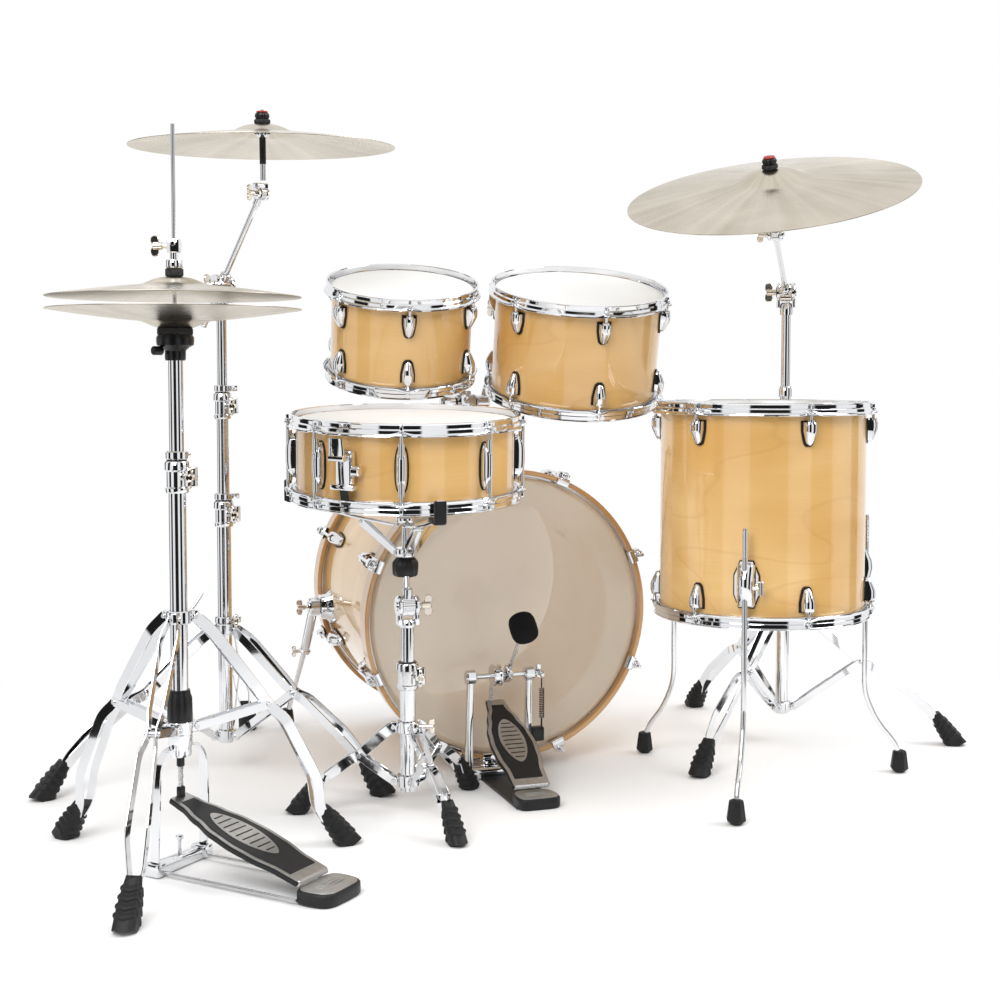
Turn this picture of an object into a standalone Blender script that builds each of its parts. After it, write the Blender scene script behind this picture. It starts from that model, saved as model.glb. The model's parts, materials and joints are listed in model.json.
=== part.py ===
"""A five-piece acoustic drum kit with hi-hat, crash and ride cymbals, at its real size in metres.

+Y points from the drummer to the audience and +Z is up. The drums, pedals and stands all stand on z = 0.
Every drum has a shell, two hoops and two heads. Every stand is a tripod with tubes that slide.
"""

import math

import bmesh
import bpy
from mathutils import Matrix, Vector

# ---- Driving dimensions -------------------------------------------------------------------------------
INCH = 0.0254
GAP = 0.0003  # clearance between pieces that touch
UP = Vector((0, 0, 1))
RIGHT = Vector((1, 0, 0))
FRONT = Vector((0, 1, 0))
# Every place below is measured from the middle of the bass drum's batter side. The finished kit stands with
# the middle of its own footprint at the origin instead, so that every node moves back by this much.
KIT_CENTRE = Vector((0.0355, -0.06415, 0))

# Drums: shell diameter, depth from rim to rim, and the centre and normal of the batter rim's plane.
BASS_DIAMETER = 20 * INCH
BASS_DEPTH = 0.440
BASS_RIM = Vector((0, 0, 0.282))
BASS_RISE = math.radians(2.3)  # the front of the bass drum stands a little higher
SMALL_TOM_DIAMETER = 10 * INCH
SMALL_TOM_DEPTH = 0.180
SMALL_TOM_RIM = Vector((-0.180, 0.062, 0.889))
SMALL_TOM_NORMAL = Vector((-0.046, -0.302, 1)).normalized()
LARGE_TOM_DIAMETER = 12 * INCH
LARGE_TOM_DEPTH = 0.210
LARGE_TOM_RIM = Vector((0.138, 0.001, 0.884))
LARGE_TOM_NORMAL = Vector((-0.038, -0.289, 1)).normalized()
FLOOR_TOM_DIAMETER = 14 * INCH
FLOOR_TOM_DEPTH = 0.374
FLOOR_TOM_RIM = Vector((0.397, -0.215, 0.675))
SNARE_DIAMETER = 14 * INCH
SNARE_DEPTH = 0.141
SNARE_RIM = Vector((-0.246, -0.198, 0.660))
SNARE_NORMAL = Vector((-0.011, -0.062, 1)).normalized()

SHELL_WALL = 0.006
METAL_HOOP_RISE = 0.009  # rim above the head
METAL_HOOP_HEIGHT = 0.022
WOOD_HOOP_RISE = 0.010
WOOD_HOOP_HEIGHT = 0.038
HEAD_FILM = 0.001
HEAD_COLLAR = 0.013

# Stands: the column's place, and the directions of its three legs in degrees from +X.
HIHAT_PLACE = Vector((-0.633, -0.362, 0))
HIHAT_LEGS = (247, 7, 127)
HIHAT_RADIUS = 0.181
HIHAT_TOP_EDGE = 0.835
HIHAT_BOTTOM_EDGE = 0.816
HIHAT_PEDAL_HEADING = -48
CRASH_PLACE = Vector((-0.491, 0.151, 0))
CRASH_LEGS = (314, 74, 194)
CRASH_RADIUS = 9 * INCH
CRASH_CENTRE = Vector((-0.431, 0.057, 1.115))
CRASH_NORMAL = Vector((-0.014, -0.041, 1)).normalized()
RIDE_PLACE = Vector((0.582, 0.036, 0))
RIDE_LEGS = (335, 95, 215)
RIDE_RADIUS = 10 * INCH
RIDE_CENTRE = Vector((0.418, -0.201, 1.039))
RIDE_NORMAL = Vector((-0.26, -0.284, 1)).normalized()
BOOM_PIVOT_HEIGHT = 0.880
SNARE_STAND_PLACE = Vector((-0.248, -0.212, 0))
SNARE_STAND_LEGS = (279, 39, 159)
LOWER_TUBE = 0.0127  # tube radii
UPPER_TUBE = 0.0091
TUBE_WALL = 0.0014
BOOM_ROD = 0.0052
CLAMP_RADIUS = 0.0180
CLAMP_LENGTH = 0.046
CLAMP_DROP = 0.023  # from a clamp's top to the middle of its wing bolt
MIDDLE_CLAMP_RADIUS = 0.0160
CYMBAL_ROD = 0.0032
CYMBAL_THICKNESS = 0.0014

BEATER_X = -0.018
PEDAL_X = -0.032
PEDAL_SHAFT = Vector((PEDAL_X, -0.045, 0.185))
PEDAL_HALF_WIDTH = 0.055
PEDAL_HEEL_Y = -0.237
PEDAL_HINGE = Vector((PEDAL_X, -0.210, 0.0275))
PEDAL_TOE = Vector((PEDAL_X, -0.022, 0.128))
PEDAL_FRONT_Y = -0.040
CAM_RADIUS = 0.0215
CAM_OFFSET = -0.008  # from the middle of the shaft
SPRING_LENGTH = 0.088
BEATER_LENGTH = 0.130
BEATER_LEAN = math.radians(41)

BOOM_BASE_TOP = 0.494  # heights of the clamps of the cymbal stands
BOOM_MIDDLE_TOP = 0.688
BOOM_STEM = 0.070  # from a tilter's hinge to the plane of the cymbal's edge
CHEEK_OFFSET = 0.0145  # from a hinge's middle to the middle of each cheek
CHEEK_HALF = 0.0035
SNARE_CLAMP_TOP = 0.252
SNARE_TILT_HEIGHT = 0.345
SNARE_HUB_DROP = 0.092  # from the lower rim to the hub that the basket arms hang from

FLOOR_TOM_LEGS = (234, 354, 114)
FLOOR_LEG_REACH = 0.2005
FLOOR_LEG_RADIUS = 0.0048
FLOOR_LEG_FOOT_REACH = 0.272
FLOOR_BRACKET_REACH = 0.196
FLOOR_BRACKET_MIDDLE = 0.376

TOM_POST_PLACE = Vector((-0.028, 0.176, 0))
TOM_POST_RADIUS = 0.0111
TOM_BLOCK_TOP = 0.566
TOM_CLAMP_HEIGHT = 0.668
TOM_CLAMP_HALF = 0.034
TOM_ARM_RADIUS = 0.0055
TOM_BRACKET_DROP = 0.090
TOM_ROD_OFFSET = 0.037  # from the shell to the rod that carries the tom
STRAINER_ANGLE = 226

SMOOTH_ANGLE = math.radians(35)


# ---- Frames and solids --------------------------------------------------------------------------------
def frame_at(origin, z_axis=UP, x_axis=RIGHT):
    """A placing matrix with its Z along z_axis and its X as near x_axis as it can be."""
    z_axis = Vector(z_axis).normalized()
    y_axis = z_axis.cross(Vector(x_axis)).normalized()
    frame = Matrix((y_axis.cross(z_axis), y_axis, z_axis)).transposed().to_4x4()
    frame.translation = origin
    return frame


def heading(degrees):
    """The level direction at this many degrees from +X."""
    return Vector((math.cos(math.radians(degrees)), math.sin(math.radians(degrees)), 0))


def square_to(direction):
    """Any direction square to this one."""
    other = UP if abs(direction.normalized().z) < 0.9 else RIGHT
    return direction.cross(other).normalized()


def turned(profile, frame, sides=24):
    """A solid of revolution about the frame's Z. A profile off the axis at both ends closes into a ring."""
    bm = bmesh.new()
    rings = []
    for radius, height in profile:
        if radius == 0:
            rings.append([bm.verts.new((0, 0, height))])
            continue
        angles = [2 * math.pi * step / sides for step in range(sides)]
        rings.append([bm.verts.new((radius * math.cos(a), radius * math.sin(a), height)) for a in angles])
    is_ring = len(rings[0]) > 1
    pairs = zip(rings, rings[1:] + rings[:1]) if is_ring else zip(rings, rings[1:])
    for lower, upper in pairs:
        for step in range(sides):
            after = (step + 1) % sides
            corners = [lower[step % len(lower)], lower[after % len(lower)]]
            corners += [upper[after % len(upper)], upper[step % len(upper)]]
            bm.faces.new(list(dict.fromkeys(corners)))
    return finished(bm, frame)


def finished(bm, frame=None):
    bmesh.ops.recalc_face_normals(bm, faces=bm.faces)
    mesh = bpy.data.meshes.new("solid")
    bm.to_mesh(mesh)
    bm.free()
    if frame:
        mesh.transform(frame)
    return mesh


def rod(start, end, radius, sides=10, bore=0.0):
    """A straight round rod, or a tube where it has a bore."""
    length = (end - start).length
    if bore:
        profile = [(radius, 0), (radius, length), (bore, length), (bore, 0)]
    else:
        profile = [(0, 0), (radius, 0), (radius, length), (0, length)]
    return turned(profile, frame_at(start, end - start, square_to(end - start)), sides)


def upright(place, bottom, top, radius, sides=12, bore=0.0):
    """A vertical rod or tube at this place, between two heights."""
    return rod(place + UP * bottom, place + UP * top, radius, sides, bore)


def stepped(frame, bottom, steps, sides=12, bore=0.0, bore_bottom=None):
    """A round column along the frame's Z. Each step is (the height where it ends, its radius).

    The bore goes right through, or down from the top as far as bore_bottom.
    """
    profile = []
    height = bottom
    for top, radius in steps:
        profile += [(radius, height), (radius, top)]
        height = top
    if bore and bore_bottom is None:
        profile += [(bore, height), (bore, bottom)]
    elif bore:
        profile = [(0, bottom), *profile, (bore, height), (bore, bore_bottom), (0, bore_bottom)]
    else:
        profile = [(0, bottom), *profile, (0, height)]
    return turned(profile, frame, sides)


def swept(points, across, section):
    """A section carried along a flat path. Its first coordinate lies along `across`, square to the path."""
    bm = bmesh.new()
    across = across.normalized()
    rings = []
    for i, point in enumerate(points):
        before = (point - points[i - 1]).normalized() if i else (points[1] - point).normalized()
        after = (points[i + 1] - point).normalized() if i + 1 < len(points) else before
        tangent = (before + after).normalized()
        lift = across.cross(tangent) / tangent.dot(before)
        rings.append([bm.verts.new(point + across * a + lift * b) for a, b in section])
    for lower, upper in zip(rings, rings[1:]):
        for step in range(len(section)):
            after = (step + 1) % len(section)
            bm.faces.new((lower[step], lower[after], upper[after], upper[step]))
    bm.faces.new(rings[0])
    bm.faces.new(rings[-1])
    return finished(bm)


def bar(points, across, width, thickness):
    """A flat bar along a path, `width` wide along `across`."""
    a, b = width / 2, thickness / 2
    return swept(points, across, [(-a, -b), (a, -b), (a, b), (-a, b)])


def bent_rod(points, across, radius, sides=8):
    angles = [2 * math.pi * (step + 0.5) / sides for step in range(sides)]
    return swept(points, across, [(radius * math.cos(a), radius * math.sin(a)) for a in angles])


def block(frame, size_x, size_y, size_z):
    bm = bmesh.new()
    bmesh.ops.create_cube(bm, size=1)
    bmesh.ops.scale(bm, vec=(size_x, size_y, size_z), verts=bm.verts)
    return finished(bm, frame)


# ---- Nodes --------------------------------------------------------------------------------------------
def material(name, colour, roughness, metallic):
    made = bpy.data.materials.new(name)
    made.use_nodes = True
    shader = made.node_tree.nodes["Principled BSDF"]
    shader.inputs["Base Color"].default_value = (*colour, 1)
    shader.inputs["Roughness"].default_value = roughness
    shader.inputs["Metallic"].default_value = metallic
    return made


def helper(mesh, name):
    """A hidden object that takes part in a Boolean."""
    made = bpy.data.objects.new(name, mesh)
    bpy.context.scene.collection.objects.link(made)
    made.hide_render = True
    made.display_type = "WIRE"
    return made


def combined(base, others, operation):
    """The base mesh joined with the others, or cut by them."""
    working = helper(base, "base")
    helpers = [helper(other, "operand") for other in others]
    for operand in helpers:
        modifier = working.modifiers.new(operation, "BOOLEAN")
        modifier.operation = operation
        modifier.object = operand
        modifier.solver = "EXACT"
    graph = bpy.context.evaluated_depsgraph_get()
    result = bpy.data.meshes.new_from_object(working.evaluated_get(graph))
    for used in [working, *helpers]:
        mesh = used.data
        bpy.data.objects.remove(used)
        bpy.data.meshes.remove(mesh)
    return result


def node(name, look, solids, cutters=(), pivot=Vector()):
    """One named sub-part: the union of its solids less the cutters, with its origin on the pivot."""
    mesh = solids[0]
    if len(solids) > 1:
        mesh = combined(mesh, solids[1:], "UNION")
    if cutters:
        mesh = combined(mesh, cutters, "DIFFERENCE")
    mesh.transform(Matrix.Translation(-pivot))
    mesh.name = name
    mesh.materials.clear()
    mesh.materials.append(look)
    mesh.shade_smooth()
    mesh.set_sharp_from_angle(angle=SMOOTH_ANGLE)
    made = bpy.data.objects.new(name, mesh)
    made.location = pivot - KIT_CENTRE
    bpy.context.scene.collection.objects.link(made)
    return made


# ---- Drums --------------------------------------------------------------------------------------------
def hoop_profile(radius, kind):
    """Half of a hoop's section, from its rim at height 0 downwards."""
    inner = radius + 0.0058
    if kind == "wood":
        outer = inner + 0.0082
        return [(inner, 0), (outer, 0), (outer, -WOOD_HOOP_HEIGHT), (inner, -WOOD_HOOP_HEIGHT)]
    wall, flange, low = inner + 0.0022, inner + 0.0095, -METAL_HOOP_HEIGHT
    return [(inner, 0), (wall, 0), (wall, low + 0.003), (flange, low + 0.003), (flange, low), (inner, low)]


def head_profile(radius, film_top):
    """A drum head: a film with a collar that hangs over the shell's edge."""
    inner, outer = radius + 0.0008, radius + 0.0055
    under = film_top - HEAD_FILM
    return [
        (0, film_top), (outer, film_top), (outer, film_top - HEAD_COLLAR),
        (inner, film_top - HEAD_COLLAR), (inner, under), (0, under),
    ]


def drum(name, frame, diameter, depth, hoop, looks, extras=(), cutters=(), sides=32):
    """A shell, and a hoop and a head at each end. The frame's Z points out of the batter head."""
    radius = diameter / 2
    rise = WOOD_HOOP_RISE if hoop == "wood" else METAL_HOOP_RISE
    shell_look, hoop_look, head_look, front_look = looks
    edge = rise + HEAD_FILM + GAP
    inner = radius - SHELL_WALL
    ring = [(radius, -edge), (radius, edge - depth), (inner, edge - depth), (inner, -edge)]
    node(name + "_shell", shell_look, [turned(ring, frame, sides), *extras], cutters)
    far = frame @ Matrix.Translation((0, 0, -depth)) @ Matrix.Rotation(math.pi, 4, "X")
    for side, side_frame, film_look in (("batter", frame, head_look), ("reso", far, front_look)):
        node(f"{name}_{side}_hoop", hoop_look, [turned(hoop_profile(radius, hoop), side_frame, sides)])
        node(f"{name}_{side}_head", film_look, [turned(head_profile(radius, -rise), side_frame, sides)])


def on_shell(frame, degrees, radius, height):
    """A frame on a drum's side: X points outwards and Z along the drum's axis."""
    turn = Matrix.Rotation(math.radians(degrees), 4, "Z")
    return frame @ turn @ Matrix.Translation((radius, 0, height))


def lugs(frame, radius, depth, first, count, length=0.036, inset=0.050):
    """Lug casings in two rows, one below each hoop."""
    found = []
    for step in range(count):
        for height in (-inset, inset - depth):
            place = on_shell(frame, first + 360 * step / count, radius + 0.006, height)
            found.append(block(place, 0.018, 0.016, length))
    return found


def tube_lugs(frame, radius, depth, first, count):
    """Bridge lugs: a tube along the shell on one foot."""
    found = []
    for step in range(count):
        angle = first + 360 * step / count
        axis = on_shell(frame, angle, radius + 0.014, -depth / 2)
        found.append(block(on_shell(frame, angle, radius + 0.005, -depth / 2), 0.016, 0.013, 0.022))
        half = UP * (depth / 2 - 0.026)
        found.append(rod(axis @ -half, axis @ half, 0.0062, 8))
    return found


def bass_drum(looks):
    axis = Vector((0, -math.cos(BASS_RISE), -math.sin(BASS_RISE)))
    frame = frame_at(BASS_RIM, axis, RIGHT)
    radius = BASS_DIAMETER / 2
    extras = lugs(frame, radius, BASS_DEPTH, 22.5, 8, 0.040, 0.085)
    for side in (-1, 1):
        seat = SPUR_PIVOT.copy()
        seat.x *= side
        extras.append(rod(seat - RIGHT * side * 0.030, seat - RIGHT * side * 0.006, 0.021, 12))
    extras.append(block(frame_at(TOM_POST_PLACE + UP * 0.546), 0.070, 0.090, 0.040))
    socket = upright(TOM_POST_PLACE, 0.50, 0.60, TOM_POST_RADIUS + GAP, 12)
    drum("bass_drum", frame, BASS_DIAMETER, BASS_DEPTH, "wood", looks, extras, [socket])


SPUR_PIVOT = Vector((0.281, 0.352, 0.262))
SPUR_FOOT = Vector((0.322, 0.452, 0.0))


def bass_drum_spurs(chrome):
    """Folding legs at the front of the bass drum: each swings on a bracket's sideways axis."""
    for side, word in ((-1, "left"), (1, "right")):
        mirror = Vector((side, 1, 1))
        pivot = SPUR_PIVOT * mirror
        foot = SPUR_FOOT * mirror + UP * 0.026
        hub = rod(pivot - RIGHT * side * (0.006 - GAP), pivot + RIGHT * side * 0.016, 0.019, 12)
        sleeve_end = pivot.lerp(foot, 0.40)
        centre = pivot + RIGHT * side * 0.006
        sleeve = rod(centre, sleeve_end, 0.0095, 10)
        leg = rod(pivot.lerp(foot, 0.36), foot + UP * 0.004, 0.0055, 8)
        tip = turned(
            [(0, 0), (0.010, 0), (0.0135, 0.012), (0.009, 0.040), (0, 0.040)], frame_at(foot - UP * 0.026), 12
        )
        node(f"bass_drum_spur_{word}", chrome, [hub, sleeve, leg, tip], pivot=pivot)


# ---- Tom holder ---------------------------------------------------------------------------------------
def tom_pivot(side):
    """Where a tom's arm turns on the holder: the end of the cross bar on this side."""
    return TOM_POST_PLACE + RIGHT * side * TOM_CLAMP_HALF + UP * TOM_CLAMP_HEIGHT


def tom_post(chrome):
    top = TOM_CLAMP_HEIGHT
    collar = TOM_POST_RADIUS + 0.005
    stop = TOM_BLOCK_TOP + GAP
    steps = [(stop, TOM_POST_RADIUS), (stop + 0.0157, collar), (top, TOM_POST_RADIUS)]
    tube = stepped(frame_at(TOM_POST_PLACE), 0.510, steps)
    head = rod(tom_pivot(-1) + RIGHT * 0.014, tom_pivot(1) - RIGHT * 0.014, 0.016, 12)
    node("tom_holder_post", chrome, [tube, head], pivot=TOM_POST_PLACE + UP * TOM_BLOCK_TOP)


def tom_arm(side, word, frame, radius, degrees, chrome):
    """The L-shaped rod between the holder and a tom, with the suspension bracket that holds the tom."""
    pivot = tom_pivot(side)
    down = -(frame.to_3x3() @ UP)
    rod_line = on_shell(frame, degrees, radius + TOM_ROD_OFFSET, 0).translation
    top = rod_line + down * (TOM_BRACKET_DROP - 0.045)
    bend = rod_line + down * (TOM_BRACKET_DROP + 0.048)
    depth = TOM_ROD_OFFSET + 0.010
    middle = radius + 2 * GAP + depth / 2
    bracket = block(on_shell(frame, degrees, middle, -TOM_BRACKET_DROP), depth, 0.034, 0.040)
    across = (bend - top).cross(pivot - bend)
    arm = bent_rod([top, bend, pivot], across, TOM_ARM_RADIUS)
    ball = rod(pivot - RIGHT * side * (0.014 - GAP), pivot + RIGHT * side * 0.012, 0.0145, 12)
    node(f"tom_holder_arm_{word}", chrome, [ball, arm, bracket], pivot=pivot)


# ---- Floor tom legs -----------------------------------------------------------------------------------
def floor_tom_brackets(place):
    """Leg brackets on the shell, and the holes that the legs slide through."""
    brackets, holes = [], []
    for degrees in FLOOR_TOM_LEGS:
        out = heading(degrees)
        middle = place + out * FLOOR_BRACKET_REACH + UP * FLOOR_BRACKET_MIDDLE
        brackets.append(block(frame_at(middle, UP, out), 0.040, 0.040, 0.074))
        line = place + out * FLOOR_LEG_REACH
        holes.append(upright(line, 0.20, 0.55, FLOOR_LEG_RADIUS + 2 * GAP, 8))
    return brackets, holes


def floor_tom_legs(place, chrome):
    for number, degrees in enumerate(FLOOR_TOM_LEGS, 1):
        out = heading(degrees)
        across = out.cross(UP)
        line = place + out * FLOOR_LEG_REACH
        foot = place + out * FLOOR_LEG_FOOT_REACH
        path = [
            line + UP * 0.472, line + UP * 0.150, line + out * 0.024 + UP * 0.098,
            foot - out * 0.007 + UP * 0.052, foot + UP * 0.020,
        ]
        tip = [(0, 0), (0.012, 0), (0.0165, 0.006), (0.0125, 0.034), (0.007, 0.042), (0, 0.042)]
        solids = [bent_rod(path, across, FLOOR_LEG_RADIUS), turned(tip, frame_at(foot), 12)]
        node(f"floor_tom_leg_{number}", chrome, solids, pivot=line)


# ---- Snare drum hardware ------------------------------------------------------------------------------
def snare_hardware(frame, chrome, steel):
    """The strainer's lever and the snare wires under the lower head."""
    radius = SNARE_DIAMETER / 2
    pivot = on_shell(frame, STRAINER_ANGLE, radius + 0.036, -0.052)
    lever = [
        rod(pivot @ Vector((0, -0.014, 0)), pivot @ Vector((0, 0.014, 0)), 0.006, 10),
        block(pivot @ Matrix.Translation((0.002, 0, 0.014)), 0.006, 0.018, 0.030),
    ]
    node("snare_strainer_lever", chrome, lever, pivot=pivot.translation)
    turn = Matrix.Rotation(math.radians(STRAINER_ANGLE), 4, "Z")
    under = -SNARE_DEPTH + METAL_HOOP_RISE - GAP - 0.0011
    wires = block(frame @ turn @ Matrix.Translation((0, 0, under)), 0.300, 0.042, 0.0022)
    node("snare_wires", steel, [wires])


def strainer_body(frame):
    radius = SNARE_DIAMETER / 2
    body = block(on_shell(frame, STRAINER_ANGLE, radius + 0.012, -0.072), 0.030, 0.024, 0.062)
    butt = block(on_shell(frame, STRAINER_ANGLE + 180, radius + 0.009, -0.092), 0.024, 0.036, 0.030)
    return [body, butt]


# ---- Stands -------------------------------------------------------------------------------------------
class Tripod:
    """Heights and reaches of a stand's legs, all measured from its column."""

    def __init__(self, upper, lower, knee_reach, knee_height, arch, foot_reach):
        self.upper = upper  # height of the collar that the legs hang from
        self.lower = lower  # height of the collar that the braces hang from
        self.knee = (knee_reach, knee_height)  # where a brace meets its leg
        self.arch = arch  # points of the leg between knee and foot
        self.foot_reach = foot_reach


HIHAT_TRIPOD = Tripod(0.371, 0.208, 0.132, 0.230, [(0.157, 0.207), (0.205, 0.110)], 0.246)
BOOM_TRIPOD = Tripod(0.263, 0.069, 0.150, 0.160, [(0.175, 0.152), (0.250, 0.098)], 0.322)
SNARE_TRIPOD = Tripod(0.146, 0.057, 0.080, 0.098, [(0.095, 0.092), (0.138, 0.058)], 0.174)
LEG_WIDTH = 0.024
LEG_THICKNESS = 0.014
FOOT_LENGTH = 0.058


def tripod_legs(place, legs, shape, tube_radius):
    """Three arched legs with rubber feet, and the braces that hold them open."""
    solids = []
    start = tube_radius + 0.006
    for degrees in legs:
        out = heading(degrees)
        across = out.cross(UP)
        foot_top = (shape.foot_reach - 0.022, 0.040)
        reaches = [(start, shape.upper), shape.knee, *shape.arch, foot_top]
        path = [place + out * reach + UP * height for reach, height in reaches]
        solids.append(bar(path, across, LEG_WIDTH, LEG_THICKNESS))
        brace = [place + out * start + UP * shape.lower, path[1]]
        solids.append(bar(brace, across, LEG_WIDTH * 0.65, LEG_THICKNESS * 0.85))
        toe = [
            place + out * (shape.foot_reach - FOOT_LENGTH / 2) + UP * 0.050,
            place + out * shape.foot_reach + UP * 0.014,
            place + out * (shape.foot_reach + FOOT_LENGTH / 2) + UP * 0.014,
        ]
        solids.append(block(foot_frame(place, out, shape.foot_reach), FOOT_LENGTH, 0.030, 0.028))
        solids.append(bar(toe[:2], across, 0.022, 0.016))
    return solids


def base_column(place, shape, bottom, top, **bore):
    """A stand's lower tube with the collars of its legs and braces, and its clamp at the top."""
    collar = LOWER_TUBE + 0.010
    steps = [
        (shape.lower - 0.010, LOWER_TUBE), (shape.lower + 0.010, collar), (shape.upper - 0.010, LOWER_TUBE),
        (shape.upper + 0.010, collar), (top - 0.046, LOWER_TUBE), (top, CLAMP_RADIUS),
    ]
    return stepped(frame_at(place), bottom, steps, **bore)


def foot_frame(place, out, reach):
    return frame_at(place + out * (reach + 0.004) + UP * 0.014, UP, out)


def wing_bolt(place, middle, direction, radius=CLAMP_RADIUS):
    """The wing bolt that tightens a tube clamp."""
    out = heading(direction)
    axle = place + UP * middle
    bolt = rod(axle + out * (radius - 0.004), axle + out * (radius + 0.016), 0.004, 8)
    wing_place = frame_at(axle + out * (radius + 0.015) + UP * 0.004, UP, out)
    wing = block(wing_place, 0.010, 0.0062, 0.028)
    return [bolt, wing]


def cymbal_profile(radius, bell_radius, bell_height, bow):
    """A cymbal's section about its axis, with its edge at height 0."""
    t = CYMBAL_THICKNESS
    peak = bow + bell_height
    outer = [
        (CYMBAL_ROD + 0.0035, peak), (bell_radius * 0.6, peak - bell_height * 0.35), (bell_radius, bow),
        (radius * 0.62, bow * 0.55), (radius, 0.0),
    ]
    return outer + [(r, z - t) for r, z in reversed(outer)]


def turned_over(profile):
    return [(radius, -height) for radius, height in profile]


def hihat_stand(looks):
    chrome, bronze, board = looks
    place = HIHAT_PLACE
    along = heading(HIHAT_PEDAL_HEADING)
    across = heading(HIHAT_PEDAL_HEADING + 90)
    seat = 0.780
    bore = LOWER_TUBE - TUBE_WALL
    base = [base_column(place, HIHAT_TRIPOD, 0.154, 0.598)]
    base += wing_bolt(place, 0.577, -20)
    base += tripod_legs(place, HIHAT_LEGS, HIHAT_TRIPOD, LOWER_TUBE)
    base.append(block(frame_at(place + UP * 0.166, UP, across), 0.112, 0.030, 0.014))
    for side in (-1, 1):
        post = place + across * side * 0.050
        base.append(rod(post + UP * 0.166, post - along * 0.006 + UP * 0.010, 0.0042, 8))
        rail = [post - along * 0.006 + UP * 0.0065, post + along * 0.262 + UP * 0.0065]
        base.append(bar(rail, UP, 0.006, 0.006))
    base.append(block(frame_at(place - along * 0.008 + UP * 0.009, UP, across), 0.122, 0.024, 0.018))
    heel = place + along * 0.264
    base.append(block(frame_at(heel + UP * 0.009, UP, along), 0.062, 0.111, 0.012))
    node("hihat_base", chrome, base, [upright(place, 0.10, 0.70, bore, 12)])

    inner = bore - 2 * GAP
    steps = [(0.598 + GAP, inner), (0.618, inner + 0.005), (0.744, inner), (0.760, 0.0165), (0.780, 0.0225)]
    tube = stepped(frame_at(place), 0.400, steps, bore=CYMBAL_ROD + 0.002)
    node("hihat_upper_tube", chrome, [tube], pivot=place + UP * 0.60)

    bell = 0.012
    bow = 0.016
    lower = turned_over(cymbal_profile(HIHAT_RADIUS, 0.048, bell, bow))
    upper = cymbal_profile(HIHAT_RADIUS, 0.048, bell, bow)
    bottom_centre = place + UP * HIHAT_BOTTOM_EDGE
    top_centre = place + UP * HIHAT_TOP_EDGE
    node("hihat_bottom_cymbal", bronze, [turned(lower, frame_at(bottom_centre), 24)], pivot=bottom_centre)
    node("hihat_top_cymbal", bronze, [turned(upper, frame_at(top_centre), 24)], pivot=top_centre)

    bell_top = HIHAT_TOP_EDGE + bell + bow
    steps = [
        (bell_top + 2 * GAP, CYMBAL_ROD), (bell_top + 0.028, 0.0115), (bell_top + 0.054, 0.0075),
        (1.081, CYMBAL_ROD),
    ]
    pull = [
        stepped(frame_at(place), 0.106, steps),
        block(frame_at(place - across * 0.012 + UP * (bell_top + 0.044), UP, across), 0.026, 0.008, 0.014),
    ]
    node("hihat_pull_rod", chrome, pull, pivot=place + UP * 0.106)

    hinge = place + along * 0.236 + UP * 0.0245
    toe = place + along * 0.004 + UP * 0.100
    node("hihat_footboard", board, footboard(hinge, toe, across, 0.092), pivot=hinge)


def footboard(hinge, toe, across, width):
    """A pedal plate from its hinge barrel up to its toe, with the lug that the chain hangs from."""
    along = (toe - hinge).normalized()
    lift = across.cross(along)
    if lift.z < 0:
        lift = -lift
    barrel = rod(hinge - across * width * 0.40, hinge + across * width * 0.40, 0.0045, 10)
    plate = bar([hinge, toe], across, width * 0.86, 0.006)
    waist = bar([hinge.lerp(toe, 0.30), hinge.lerp(toe, 0.78)], across, width, 0.006)
    return [plate, barrel, waist]


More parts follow.
